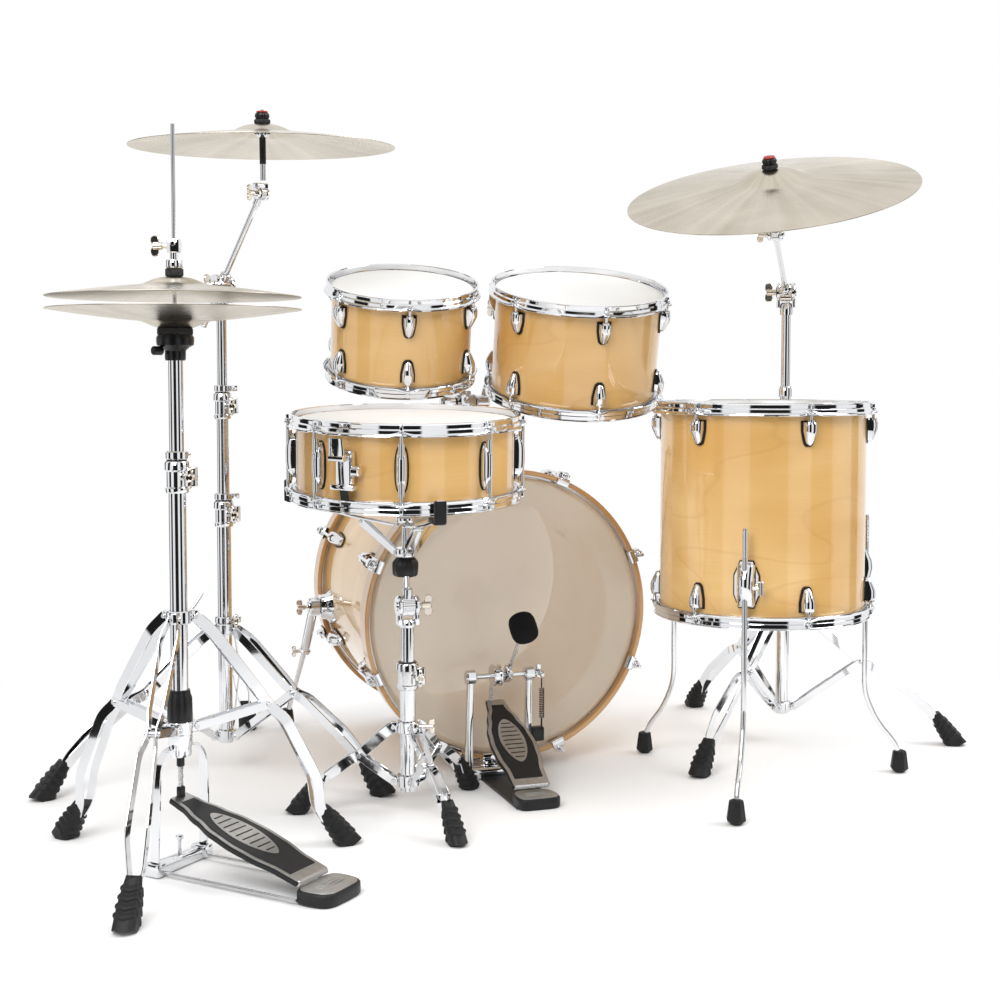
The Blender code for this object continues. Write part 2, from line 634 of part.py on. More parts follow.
def boom_stand(name, place, legs, centre, normal, radius, has_middle, looks):
    """A cymbal stand: base, sliding tubes, boom arm, tilter and cymbal."""
    chrome, bronze = looks
    bore = LOWER_TUBE - TUBE_WALL
    base = [base_column(place, BOOM_TRIPOD, 0.055, BOOM_BASE_TOP, bore=bore, bore_bottom=0.30)]
    base += wing_bolt(place, BOOM_BASE_TOP - CLAMP_DROP, -20)
    base += tripod_legs(place, legs, BOOM_TRIPOD, LOWER_TUBE)
    node(f"{name}_stand_base", chrome, base)

    upper_top = BOOM_PIVOT_HEIGHT - 0.030
    if has_middle:
        inner = bore - GAP - TUBE_WALL
        steps = [(BOOM_MIDDLE_TOP - CLAMP_LENGTH, bore - GAP), (BOOM_MIDDLE_TOP, MIDDLE_CLAMP_RADIUS)]
        middle = [stepped(frame_at(place), 0.330, steps, bore=inner)]
        middle += wing_bolt(place, BOOM_MIDDLE_TOP - CLAMP_DROP, -20, MIDDLE_CLAMP_RADIUS)
        node(f"{name}_stand_middle_tube", chrome, middle, pivot=place + UP * BOOM_BASE_TOP)
        stop = BOOM_MIDDLE_TOP
        upper = stepped(frame_at(place), 0.560, [(upper_top, inner - GAP)])
    else:
        stop = BOOM_BASE_TOP
        upper = stepped(frame_at(place), 0.330, [(BOOM_MIDDLE_TOP, bore - GAP), (upper_top, UPPER_TUBE)])
    pivot = place + UP * BOOM_PIVOT_HEIGHT
    stem = centre - normal * BOOM_STEM
    lean = (stem - pivot).normalized()
    swing_axis = UP.cross(lean).normalized()
    tubes = [upper, *cheeks(pivot, swing_axis, 0.0210)]
    tubes.append(block(frame_at(pivot - UP * 0.0265, UP, swing_axis), 0.036, 0.010, 0.015))
    node(f"{name}_stand_upper_tube", chrome, tubes, pivot=place + UP * stop)

    tail = pivot - lean * 0.085
    end = stem - lean * 0.012
    boom = [
        rod(tail, end, BOOM_ROD, 10),
        rod(pivot - swing_axis * (0.011 - GAP), pivot + swing_axis * (0.011 - GAP), 0.0165, 12),
        rod(end - swing_axis * 0.0060, end + swing_axis * 0.0060, 0.0075, 12),
    ]
    node(f"{name}_boom_arm", chrome, boom, pivot=pivot)

    size = radius / CRASH_RADIUS
    peak = 0.038 * size
    stem_steps = [
        (-0.016, 0.0062), (peak * 0.905, 0.0125), (peak + 0.0006, CYMBAL_ROD),
        (peak + 0.022, 0.0125), (peak + 0.026, CYMBAL_ROD),
    ]
    tilter = [
        rod(end - swing_axis * 0.0145, end - swing_axis * (0.0060 + GAP), 0.010, 12),
        rod(end + swing_axis * (0.0060 + GAP), end + swing_axis * 0.0145, 0.010, 12),
        block(frame_at(end + normal * 0.0135, normal, swing_axis), 0.029, 0.014, 0.010),
        stepped(frame_at(centre, normal), -0.064, stem_steps),
    ]
    node(f"{name}_cymbal_tilter", chrome, tilter, pivot=end)

    profile = cymbal_profile(radius, 0.058 * size, 0.016 * size, 0.022 * size)
    node(f"{name}_cymbal", bronze, [turned(profile, frame_at(centre, normal), 24)], pivot=centre)


def cheeks(pivot, axis, radius):
    """The two round plates of a tilter, on either side of its hinge."""
    middles = [pivot + axis * side * CHEEK_OFFSET for side in (-1, 1)]
    return [rod(middle - axis * CHEEK_HALF, middle + axis * CHEEK_HALF, radius, 12) for middle in middles]


def snare_stand(frame, chrome):
    """A low stand: base, sliding tube, and a basket of three arms on a tilter."""
    place = SNARE_STAND_PLACE
    bore = LOWER_TUBE - TUBE_WALL
    base = [base_column(place, SNARE_TRIPOD, 0.040, SNARE_CLAMP_TOP, bore=bore, bore_bottom=0.080)]
    base += wing_bolt(place, SNARE_CLAMP_TOP - CLAMP_DROP, -20)
    base += tripod_legs(place, SNARE_STAND_LEGS, SNARE_TRIPOD, LOWER_TUBE)
    node("snare_stand_base", chrome, base)

    pivot = place + UP * SNARE_TILT_HEIGHT
    tube = [upright(place, 0.140, SNARE_TILT_HEIGHT - 0.023, bore - GAP, 12), *cheeks(pivot, RIGHT, 0.0185)]
    tube.append(block(frame_at(pivot - UP * 0.0235), 0.036, 0.024, 0.014))
    node("snare_stand_upper_tube", chrome, tube, pivot=place + UP * SNARE_CLAMP_TOP)

    down = -(frame.to_3x3() @ UP)
    rest = frame.translation + down * (SNARE_DEPTH + GAP)
    hub = rest + down * SNARE_HUB_DROP
    rim = SNARE_DIAMETER / 2 + 0.0225
    basket = [
        rod(pivot - RIGHT * (0.011 - GAP), pivot + RIGHT * (0.011 - GAP), 0.0155, 12),
        rod(pivot, hub, 0.0060, 10),
        rod(hub + down * 0.036, hub - down * 0.004, 0.0200, 12),
    ]
    for degrees in (150, 270, 30):
        out = frame.to_3x3() @ heading(degrees)
        across = out.cross(down)
        from_hub = [(0.012, 0), (0.060, -0.040), (0.120, -0.070)]
        from_rim = [(rim - 0.012, 0.010), (rim, 0.004), (rim, -0.026)]
        path = [hub + out * reach + down * drop for reach, drop in from_hub]
        path += [rest + out * reach + down * drop for reach, drop in from_rim]
        basket.append(bar(path, across, 0.014, 0.007))
        grip = frame_at(rest + out * (rim - 0.010) + down * 0.0085, -down, out)
        basket.append(block(grip, 0.034, 0.020, 0.016))
    node("snare_basket", chrome, basket, pivot=pivot)


# ---- Bass drum pedal ----------------------------------------------------------------------------------
def pedal_frame(chrome, anchor):
    """The floor plate, heel plate, hoop clamp and the two posts that carry the beater's shaft."""
    blocks = [  # y, z, width, length and height of each
        (-0.146, 0.003, 0.080, 0.232, 0.006), (PEDAL_HEEL_Y, 0.010, 0.088, 0.050, 0.014),
        (PEDAL_FRONT_Y, 0.009, 0.116, 0.028, 0.018), (-0.020, 0.0055, 0.044, 0.052, 0.011),
    ]
    solids = []
    for y, z, width, length, height in blocks:
        solids.append(block(frame_at(Vector((PEDAL_X, y, z))), width, length, height))
    for side in (-1, 1):
        top = PEDAL_SHAFT + RIGHT * side * PEDAL_HALF_WIDTH
        foot = Vector((top.x, PEDAL_FRONT_Y, 0.010))
        solids.append(rod(foot, top, 0.0062, 10))
        solids.append(rod(top - RIGHT * 0.007, top + RIGHT * 0.007, 0.0125, 12))
    solids.append(block(frame_at(anchor - UP * 0.120 - RIGHT * 0.006), 0.026, 0.012, 0.030))
    bore = rod(PEDAL_SHAFT - RIGHT * 0.09, PEDAL_SHAFT + RIGHT * 0.09, 0.0055, 12)
    node("bass_pedal_frame", chrome, solids, [bore])


def pedal_beater(felt, anchor):
    """The shaft with its cam, its spring arm and the beater, all clamped together."""
    shaft, half = PEDAL_SHAFT, PEDAL_HALF_WIDTH
    lean = Vector((0, -math.sin(BEATER_LEAN), math.cos(BEATER_LEAN)))
    strike = Vector((0, math.cos(BEATER_LEAN), math.sin(BEATER_LEAN)))
    hub = Vector((BEATER_X, shaft.y, shaft.z))
    head = hub + lean * BEATER_LENGTH
    cam = shaft + RIGHT * CAM_OFFSET
    half_felt = [(0.0235, 0.010), (0.020, 0.020), (0, 0.022)]
    felt_profile = [(radius, -height) for radius, height in reversed(half_felt)] + half_felt
    beater = [
        rod(shaft - RIGHT * (half + 0.004), shaft + RIGHT * (half + 0.024), 0.0045, 8),
        rod(hub - RIGHT * 0.007, hub + RIGHT * 0.007, 0.0110, 12),
        rod(hub, head, 0.0035, 8),
        turned(felt_profile, frame_at(head, strike), 16),
        rod(cam - RIGHT * 0.008, cam + RIGHT * 0.008, CAM_RADIUS, 16),
        block(frame_at(anchor + UP * 0.002 + FRONT * -0.012), 0.006, 0.028, 0.008),
    ]
    node("bass_pedal_beater", felt, beater, pivot=shaft)


def bass_pedal(chrome, board, felt):
    """A chain pedal: the footboard pulls the chain, the chain turns the cam, and a spring pulls it back."""
    anchor = PEDAL_SHAFT + RIGHT * (PEDAL_HALF_WIDTH + 0.017)
    pedal_frame(chrome, anchor)
    node("bass_pedal_footboard", board, footboard(PEDAL_HINGE, PEDAL_TOE, RIGHT, 0.078), pivot=PEDAL_HINGE)
    pedal_beater(felt, anchor)
    chain_top = PEDAL_SHAFT + RIGHT * CAM_OFFSET + FRONT * (CAM_RADIUS + 0.0032)
    chain_foot = Vector((chain_top.x, chain_top.y, PEDAL_TOE.z + 0.0055))
    node("bass_pedal_chain", chrome, [rod(chain_foot, chain_top, 0.0028, 8)], pivot=chain_foot)
    spring_top = anchor - FRONT * 0.020 - UP * 0.006
    spring = rod(spring_top - UP * SPRING_LENGTH, spring_top, 0.0052, 10)
    node("bass_pedal_spring", chrome, [spring], pivot=anchor - UP * 0.104)


# ---- The kit ------------------------------------------------------------------------------------------
def clear_scene():
    for old in list(bpy.data.objects):
        bpy.data.objects.remove(old)


def build_kit():
    clear_scene()
    chrome = material("chrome", (0.75, 0.76, 0.78), 0.08, 1.0)
    maple = material("maple", (0.72, 0.42, 0.16), 0.15, 0.0)
    hoop_maple = material("hoop_maple", (0.66, 0.37, 0.14), 0.15, 0.0)
    coated = material("coated_film", (0.93, 0.92, 0.88), 0.55, 0.0)
    clear = material("clear_film", (0.85, 0.82, 0.76), 0.10, 0.0)
    bronze = material("bronze", (0.74, 0.66, 0.52), 0.25, 1.0)
    steel = material("steel", (0.60, 0.60, 0.60), 0.30, 1.0)
    board = material("footboard_metal", (0.45, 0.45, 0.46), 0.30, 1.0)
    felt = material("beater_felt", (0.03, 0.03, 0.03), 0.80, 0.0)

    bass_drum((maple, hoop_maple, clear, coated))
    bass_drum_spurs(chrome)
    tom_post(chrome)
    looks = (maple, chrome, coated, clear)
    small, large = frame_at(SMALL_TOM_RIM, SMALL_TOM_NORMAL), frame_at(LARGE_TOM_RIM, LARGE_TOM_NORMAL)
    tom_arm(-1, "left", small, SMALL_TOM_DIAMETER / 2, 52, chrome)
    tom_arm(1, "right", large, LARGE_TOM_DIAMETER / 2, 120, chrome)
    for name, frame, diameter, depth, first_lug in (
        ("small_tom", small, SMALL_TOM_DIAMETER, SMALL_TOM_DEPTH, 261),
        ("large_tom", large, LARGE_TOM_DIAMETER, LARGE_TOM_DEPTH, 266),
    ):
        casings = lugs(frame, diameter / 2, depth, first_lug, 6)
        drum(name, frame, diameter, depth, "metal", looks, casings, sides=24)

    floor_frame = frame_at(FLOOR_TOM_RIM)
    floor_place = Vector((FLOOR_TOM_RIM.x, FLOOR_TOM_RIM.y, 0))
    brackets, holes = floor_tom_brackets(floor_place)
    brackets += lugs(floor_frame, FLOOR_TOM_DIAMETER / 2, FLOOR_TOM_DEPTH, 266, 6)
    drum("floor_tom", floor_frame, FLOOR_TOM_DIAMETER, FLOOR_TOM_DEPTH, "metal", looks, brackets, holes)
    floor_tom_legs(floor_place, chrome)

    snare_frame = frame_at(SNARE_RIM, SNARE_NORMAL)
    fittings = tube_lugs(snare_frame, SNARE_DIAMETER / 2, SNARE_DEPTH, 253, 8) + strainer_body(snare_frame)
    drum("snare_drum", snare_frame, SNARE_DIAMETER, SNARE_DEPTH, "metal", looks, fittings)
    snare_hardware(snare_frame, chrome, steel)
    snare_stand(snare_frame, chrome)

    bass_pedal(chrome, board, felt)
    hihat_stand((chrome, bronze, board))
    for name, place, legs, centre, normal, radius, has_middle in (
        ("crash", CRASH_PLACE, CRASH_LEGS, CRASH_CENTRE, CRASH_NORMAL, CRASH_RADIUS, True),
        ("ride", RIDE_PLACE, RIDE_LEGS, RIDE_CENTRE, RIDE_NORMAL, RIDE_RADIUS, False),
    ):
        boom_stand(name, place, legs, centre, normal, radius, has_middle, (chrome, bronze))


build_kit()
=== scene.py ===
"""The look of the drum kit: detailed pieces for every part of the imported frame, a camera and a plain studio."""

import json
import math

import bmesh
import bpy
from mathutils import Matrix, Vector


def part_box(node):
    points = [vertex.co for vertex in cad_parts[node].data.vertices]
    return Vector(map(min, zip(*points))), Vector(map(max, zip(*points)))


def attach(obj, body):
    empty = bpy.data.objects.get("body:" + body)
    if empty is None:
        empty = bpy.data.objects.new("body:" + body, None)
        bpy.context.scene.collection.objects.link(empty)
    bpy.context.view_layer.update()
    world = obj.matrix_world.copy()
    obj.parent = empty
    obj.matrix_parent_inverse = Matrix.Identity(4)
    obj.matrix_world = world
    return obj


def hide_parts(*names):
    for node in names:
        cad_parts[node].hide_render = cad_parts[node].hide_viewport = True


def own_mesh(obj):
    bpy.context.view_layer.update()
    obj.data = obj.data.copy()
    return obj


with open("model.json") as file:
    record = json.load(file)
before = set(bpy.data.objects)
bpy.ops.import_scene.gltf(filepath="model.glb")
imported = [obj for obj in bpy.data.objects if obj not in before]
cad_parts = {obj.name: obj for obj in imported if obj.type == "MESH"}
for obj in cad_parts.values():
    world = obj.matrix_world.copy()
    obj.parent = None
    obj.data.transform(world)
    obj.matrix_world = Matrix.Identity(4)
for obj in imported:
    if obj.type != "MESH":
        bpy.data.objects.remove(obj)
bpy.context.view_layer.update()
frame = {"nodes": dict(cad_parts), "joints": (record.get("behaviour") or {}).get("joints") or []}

UP = Vector((0, 0, 1))
RIGHT = Vector((1, 0, 0))
FRONT = Vector((0, 1, 0))
JOINTS = {joint["name"]: joint for joint in frame["joints"]}
GAP = 0.0003  # left between a sliding tube and what sits round it
TUBE = 0.0127  # radius of a stand's lower tube
SLIM_TUBE = 0.0110  # radius of the tube that slides in it
SMOOTH_ANGLE = math.radians(38)  # sharper edges than this stay sharp
# Turns a frame so that a plate, which is built in XY, lies in YZ.
SIDEWAYS = Matrix(((0, 0, 1, 0), (1, 0, 0, 0), (0, 1, 0, 0), (0, 0, 0, 1)))


# ---- Where things are ---------------------------------------------------------------------------------
def pivot_of(joint):
    return Vector(JOINTS[joint]["pos_m"])


def axis_of(joint):
    return Vector(JOINTS[joint]["axis"]).normalized()


def column_of(node):
    """The point on the floor under a node's middle."""
    low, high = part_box(node)
    return Vector(((low.x + high.x) / 2, (low.y + high.y) / 2, 0))


def corners_of(node):
    return [vertex.co for vertex in frame["nodes"][node].data.vertices]


def middle_of(node):
    """The mean of a node's distinct corners: packed faces repeat the corners that they share."""
    distinct = sorted({tuple(round(value, 5) for value in corner) for corner in corners_of(node)})
    return sum((Vector(corner) for corner in distinct), Vector()) / len(distinct)


def frame_at(origin, z_axis=UP, x_axis=RIGHT):
    """A placing matrix with its Z along z_axis and its X as near x_axis as it can be."""
    z_axis = Vector(z_axis).normalized()
    y_axis = z_axis.cross(Vector(x_axis)).normalized()
    made = Matrix((y_axis.cross(z_axis), y_axis, z_axis)).transposed().to_4x4()
    made.translation = origin
    return made


def heading(degrees):
    """The level direction at this many degrees from +X."""
    return Vector((math.cos(math.radians(degrees)), math.sin(math.radians(degrees)), 0))


def square_to(direction):
    """Some direction square to this one."""
    other = UP if abs(direction.normalized().z) < 0.9 else RIGHT
    return direction.cross(other).normalized()


def moved(place, x, y, z):
    """A frame shifted along its own axes."""
    return place @ Matrix.Translation((x, y, z))


def beside(column, out, reach, height):
    """A frame at this reach and height from a column, with X outwards."""
    return frame_at(column + out * reach + UP * height, UP, out)


# ---- Solids: each is (points, faces) ------------------------------------------------------------------
def lofted(rings, looped=False):
    """Rings of points joined in order, with flat ends unless the last ring meets the first."""
    count = len(rings[0])
    points = [point for ring in rings for point in ring]
    faces = []
    rows = len(rings) if looped else len(rings) - 1
    for row in range(rows):
        low = row * count
        high = (row + 1) % len(rings) * count
        for step in range(count):
            after = (step + 1) % count
            faces.append((low + step, low + after, high + after, high + step))
    if not looped:
        faces.append(tuple(range(count)))
        faces.append(tuple(range(len(points) - count, len(points))))
    return points, faces


def turned(profile, place, sides=32):
    """A solid of revolution about the place's Z. A profile off the axis at both ends closes into a ring."""
    points, faces, rings = [], [], []
    for radius, height in profile:
        count = sides if radius else 1
        rings.append([len(points) + step for step in range(count)])
        for step in range(count):
            angle = math.tau * step / sides
            points.append(place @ Vector((radius * math.cos(angle), radius * math.sin(angle), height)))
    pairs = zip(rings, rings[1:] + rings[:1]) if profile[0][0] else zip(rings, rings[1:])
    for lower, upper in pairs:
        for step in range(sides):
            after = (step + 1) % sides
            corners = [lower[step % len(lower)], lower[after % len(lower)]]
            corners += [upper[after % len(upper)], upper[step % len(upper)]]
            faces.append(tuple(dict.fromkeys(corners)))
    return points, faces


def swept(path, section, across):
    """A closed section carried along a path. Its first coordinate starts out along `across`."""
    rings = []
    side = across
    for i, point in enumerate(path):
        tangent = (path[min(i + 1, len(path) - 1)] - path[max(i - 1, 0)]).normalized()
        side = (side - tangent * side.dot(tangent)).normalized()
        lift = side.cross(tangent)
        rings.append([point + side * a + lift * b for a, b in section])
    return lofted(rings)


def round_section(radius, sides):
    angles = [math.tau * (step + 0.5) / sides for step in range(sides)]
    return [(radius * math.cos(angle), radius * math.sin(angle)) for angle in angles]


def flat_section(across, lift, corner=0.0006):
    """A rectangle with its corners cut off."""
    a, b, c = across / 2, lift / 2, corner
    low = [(-a, c - b), (c - a, -b), (a - c, -b), (a, c - b)]
    return low + [(-x, -y) for x, y in low]


def rounded(points, reach, steps=5):
    """A path through the points whose corners are rounded, starting this far before each corner."""
    path = [points[0]]
    for before, corner, after in zip(points, points[1:], points[2:]):
        start = corner.lerp(before, min(0.45, reach / (before - corner).length))
        end = corner.lerp(after, min(0.45, reach / (after - corner).length))
        for step in range(steps + 1):
            t = step / steps
            path.append(start.lerp(corner, t).lerp(corner.lerp(end, t), t))
    return [*path, points[-1]]


def wire(path, radius, sides=12):
    """A round rod along a path."""
    return swept(path, round_section(radius, sides), square_to(path[1] - path[0]))


def rod(start, end, radius, sides=24, chamfer=0.0006):
    """A straight round rod with chamfered ends."""
    length = (end - start).length
    cut = min(chamfer, radius / 3, length / 3)
    near = [(0, 0), (radius - cut, 0), (radius, cut)]
    profile = near + [(radius, length - cut), (radius - cut, length), (0, length)]
    return turned(profile, frame_at(start, end - start, square_to(end - start)), sides)


def pin(place, start, end, radius, sides=24, chamfer=0.0006):
    """A rod between two points given in a frame's own axes."""
    return rod(place @ Vector(start), place @ Vector(end), radius, sides, chamfer)


def ball(place, radius, sides=20, flatten=1.0):
    """A ball, stretched along the place's Z if flatten is above 1."""
    steps = 10
    angles = [math.pi * step / steps - math.pi / 2 for step in range(steps + 1)]
    profile = [(radius * math.cos(a), radius * flatten * math.sin(a)) for a in angles]
    profile[0] = (0, profile[0][1])
    profile[-1] = (0, profile[-1][1])
    return turned(profile, place, sides)


def block(place, size_x, size_y, size_z, edge=0.0015):
    """A box with rounded edges, centred on the place."""
    bm = bmesh.new()
    bmesh.ops.create_cube(bm, size=1)
    bmesh.ops.scale(bm, vec=(size_x, size_y, size_z), verts=bm.verts)
    bmesh.ops.bevel(bm, geom=bm.edges[:], offset=edge, segments=2, affect="EDGES", profile=0.5)
    bm.verts.index_update()
    points = [place @ vertex.co for vertex in bm.verts]
    faces = [tuple(vertex.index for vertex in face.verts) for face in bm.faces]
    bm.free()
    return points, faces


def plate(outline, place, thickness, edge=0.0008):
    """A flat plate with this outline in the place's XY, from z = 0 up, with chamfered rims."""
    cx = sum(x for x, _ in outline) / len(outline)
    cy = sum(y for _, y in outline) / len(outline)
    reach = max(math.hypot(x - cx, y - cy) for x, y in outline)
    shrink = 1 - edge / reach
    rings = []
    for height, size in ((0, shrink), (edge, 1), (thickness - edge, 1), (thickness, shrink)):
        scaled_outline = [(cx + (x - cx) * size, cy + (y - cy) * size) for x, y in outline]
        rings.append([place @ Vector((x, y, height)) for x, y in scaled_outline])
    return lofted(rings)


def oval(half_x, half_y, sides=24, power=1.0):
    """An ellipse's outline; a power below 1 squares it up."""
    found = []
    for step in range(sides):
        c, s = math.cos(math.tau * step / sides), math.sin(math.tau * step / sides)
        found.append((half_x * math.copysign(abs(c) ** power, c), half_y * math.copysign(abs(s) ** power, s)))
    return found


# ---- Pieces -------------------------------------------------------------------------------------------
def piece(name, look, body, solids, replaces=(), wrap=None):
    """One named object made of these solids, riding on a body. wrap = (place, radius, flat) gives it UVs."""
    points, faces = [], []
    for some_points, some_faces in solids:
        start = len(points)
        points += some_points
        faces += [tuple(start + corner for corner in face) for face in some_faces]
    mesh = bpy.data.meshes.new(name)
    mesh.from_pydata(points, [], faces)
    bm = bmesh.new()
    bm.from_mesh(mesh)
    bmesh.ops.recalc_face_normals(bm, faces=bm.faces)
    bm.to_mesh(mesh)
    bm.free()
    mesh.shade_smooth()
    mesh.set_sharp_from_angle(angle=SMOOTH_ANGLE)
    mesh.materials.append(look.material)
    made = bpy.data.objects.new(name, mesh)
    bpy.context.scene.collection.objects.link(made)
    if wrap:
        wrap_round(mesh, *wrap)
    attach(made, body)
    if replaces:
        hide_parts(*replaces)
    return made


def wrap_round(mesh, place, radius, flat=False):
    """UVs in metres: the way round the place's Z, then the height along it, or the distance from it if flat."""
    layer = mesh.uv_layers.new(name="wrap")
    back = place.inverted()
    for face in mesh.polygons:
        found = []
        for loop in face.loop_indices:
            local = back @ mesh.vertices[mesh.loops[loop].vertex_index].co
            found.append((math.atan2(local.y, local.x), math.hypot(local.x, local.y) if flat else local.z))
        crosses = max(angle for angle, _ in found) - min(angle for angle, _ in found) > math.pi
        for loop, (angle, second) in zip(face.loop_indices, found):
            angle += math.tau if crosses and angle < 0 else 0
            layer.data[loop].uv = (angle * radius, second)


# ---- Materials ----------------------------------------------------------------------------------------
def feed(tree, socket, value):
    """Links another node's output to a socket, or sets its value."""
    if isinstance(value, bpy.types.NodeSocket):
        tree.links.new(value, socket)
    else:
        socket.default_value = value


def add_node(tree, kind, inputs=None, **properties):
    """A node whose inputs are given by name or number, as values or as other nodes' outputs."""
    made = tree.nodes.new(kind)
    for key, value in properties.items():
        setattr(made, key, value)
    for key, value in (inputs or {}).items():
        feed(tree, made.inputs[key], value)
    return made


def set_stops(ramp, stops):
    """Fills a colour ramp with (position, colour)."""
    for i, (position, colour) in enumerate(stops):
        stop = ramp.color_ramp.elements[i] if i < 2 else ramp.color_ramp.elements.new(position)
        stop.position = position
        stop.color = (*colour, 1)


class Look:
    """A Principled material built from nodes, with the record's slot that it belongs to."""

    def __init__(self, name, slot, colour, roughness, **settings):
        self.slot = slot
        self.material = bpy.data.materials.new(name)
        self.material.use_nodes = True
        self.shader = self.material.node_tree.nodes["Principled BSDF"]
        self.shader.inputs["Base Color"].default_value = (*colour, 1)
        self.shader.inputs["Roughness"].default_value = roughness
        for key, value in settings.items():
            self.shader.inputs[key.replace("_", " ")].default_value = value

    def add(self, kind, inputs=None, **properties):
        return add_node(self.material.node_tree, kind, inputs, **properties)

    def set(self, socket, value):
        feed(self.material.node_tree, self.shader.inputs[socket], value)

    def coordinates(self, kind="Object", stretch=(1, 1, 1)):
        source = self.add("ShaderNodeTexCoord").outputs[kind]
        return self.add("ShaderNodeMapping", {"Vector": source, "Scale": stretch}).outputs["Vector"]

    def noise(self, vector, scale, detail=2.0, distortion=0.0):
        inputs = {"Vector": vector, "Scale": scale, "Detail": detail, "Distortion": distortion}
        return self.add("ShaderNodeTexNoise", inputs).outputs["Fac"]

    def ramp(self, factor, stops):
        """Colours along a factor; stops are (position, colour)."""
        made = self.add("ShaderNodeValToRGB", {"Fac": factor})
        set_stops(made, stops)
        return made.outputs["Color"]

    def spread(self, factor, low, high):
        """A factor of 0 to 1 moved to low to high."""
        inputs = {"Value": factor, "To Min": low, "To Max": high}
        return self.add("ShaderNodeMapRange", inputs).outputs["Result"]

    def math(self, operation, first, second=0.0):
        return self.add("ShaderNodeMath", {0: first, 1: second}, operation=operation).outputs[0]

    def mixed(self, factor, first, second):
        """One colour shading into another; the second may be a plain (r, g, b)."""
        second = (*second, 1) if isinstance(second, tuple) else second
        return self.add("ShaderNodeMix", {0: factor, 6: first, 7: second}, data_type="RGBA").outputs[2]

    def bump(self, height, strength, distance):
        made = self.add("ShaderNodeBump", {"Height": height, "Strength": strength, "Distance": distance})
        self.set("Normal", made.outputs["Normal"])


def scaled(colour, *shares):
    """A colour darkened by one share, or by one for each channel."""
    shares = shares * 3 if len(shares) == 1 else shares
    return tuple(channel * share for channel, share in zip(colour, shares))


def metal(name, slot, colour, roughness, bump=0.02):
    """Polished metal with faint smears and polishing waves."""
    look = Look(name, slot, colour, roughness, Metallic=1.0)
    place = look.coordinates()
    smears = look.noise(place, 26.0, 3.0, 0.4)
    look.set("Roughness", look.spread(smears, roughness * 0.7, roughness * 1.5))
    look.set("Base Color", look.ramp(look.noise(place, 9.0), [(0.35, scaled(colour, 0.93)), (0.65, colour)]))
    look.bump(look.noise(place, 70.0, 2.0), bump, 0.0004)
    return look


def lacquered_maple(name, slot, pale, deep):
    """Maple veneer with the grain round the drum, under clear gloss lacquer."""
    look = Look(name, slot, pale, 0.32, Coat_Weight=1.0, Coat_Roughness=0.03, Coat_IOR=1.55)
    broad = look.coordinates("UV", (2.2, 7.0, 1))
    clouds = look.noise(broad, 1.3, 2.0, 0.6)
    tone = look.ramp(clouds, [(0.30, deep), (0.72, pale)])
    rings = look.math("FRACT", look.math("MULTIPLY", look.noise(broad, 0.9, 1.0, 0.5), 9.0))
    line = look.ramp(rings, [(0.0, (1, 1, 1)), (0.05, (0, 0, 0)), (0.93, (0, 0, 0)), (1.0, (1, 1, 1))])
    shade = look.math("MULTIPLY", line, 0.22)
    brown = scaled(deep, 0.72, 0.60, 0.45)
    tone = look.mixed(shade, tone, brown)
    fibres = look.noise(look.coordinates("UV", (14, 420, 1)), 1.0, 3.0)
    tone = look.mixed(look.spread(fibres, 0.0, 0.22), tone, brown)
    specks = look.add("ShaderNodeTexVoronoi", {"Vector": look.coordinates("UV", (9, 16, 1)), "Scale": 1.0})
    speck = look.ramp(specks.outputs["Distance"], [(0.0, (1, 1, 1)), (0.035, (0, 0, 0))])
    tone = look.mixed(look.math("MULTIPLY", speck, 0.6), tone, brown)
    look.set("Base Color", tone)
    look.set("Roughness", look.spread(fibres, 0.26, 0.42))
    look.bump(fibres, 0.03, 0.0002)
    return look


def drum_film(name, slot, colour, roughness, alpha, grain, painted_glow=0.0):
    """Drum head film. A coated one is grainy; a clear one lets the drum show; a glow above 0 is painted light:
    the film emits a faint light in its own tone, though it is no lamp.
    """
    look = Look(name, slot, colour, roughness, Alpha=alpha, IOR=1.5, Emission_Strength=painted_glow)
    place = look.coordinates()
    marks = look.noise(place, 5.0, 4.0, 0.5)
    tone = look.ramp(marks, [(0.35, scaled(colour, 0.955)), (0.62, colour)])
    look.set("Base Color", tone)
    # Painted glow: the film emits light in the same tone as its colour.
    look.set("Emission Color", tone)
    fine = look.noise(place, 1400.0 if grain else 60.0, 2.0)
    look.set("Roughness", look.spread(marks, roughness * 0.8, roughness * 1.25))
    look.bump(fine, grain or 0.01, 0.0003)
    return look


def cymbal_bronze():
    """Lathed bronze: rings of fine grooves, faint hammer marks, light drawn out across the grooves by anisotropy,
    and pale radial streaks painted into the colour as painted highlights.
    """
    pale, deep = (0.60, 0.53, 0.42), (0.37, 0.31, 0.22)
    look = Look("cymbal_bronze", "cymbal_bronze", pale, 0.30, Metallic=1.0, Anisotropic=0.8)
    grooves = look.noise(look.coordinates("UV", (0.6, 900, 1)), 1.0, 3.0)
    bands = look.noise(look.coordinates("UV", (0.3, 120, 1)), 1.0, 4.0)
    painted_highlight_spokes = look.noise(look.coordinates("UV", (26, 0.5, 1)), 1.0, 2.0)
    clouds = look.noise(look.coordinates(), 9.0, 3.0, 0.3)
    tone = look.ramp(clouds, [(0.32, deep), (0.68, pale)])
    tone = look.mixed(look.spread(bands, 0.0, 0.42), tone, (0.44, 0.38, 0.28))
    # Painted highlight: pale radial streaks in the colour stand in for the lathe's reflections.
    tone = look.mixed(look.spread(painted_highlight_spokes, 0.0, 0.75), tone, (0.86, 0.81, 0.72))
    look.set("Base Color", tone)
    look.set("Roughness", look.spread(grooves, 0.18, 0.36))
    hammered = look.math("MULTIPLY", look.noise(look.coordinates(), 22.0, 1.0), 0.30)
    look.bump(look.math("ADD", grooves, hammered), 0.14, 0.0008)
    tangent = look.add("ShaderNodeTangent", direction_type="UV_MAP", uv_map="wrap")
    look.set("Tangent", tangent.outputs["Tangent"])
    return look


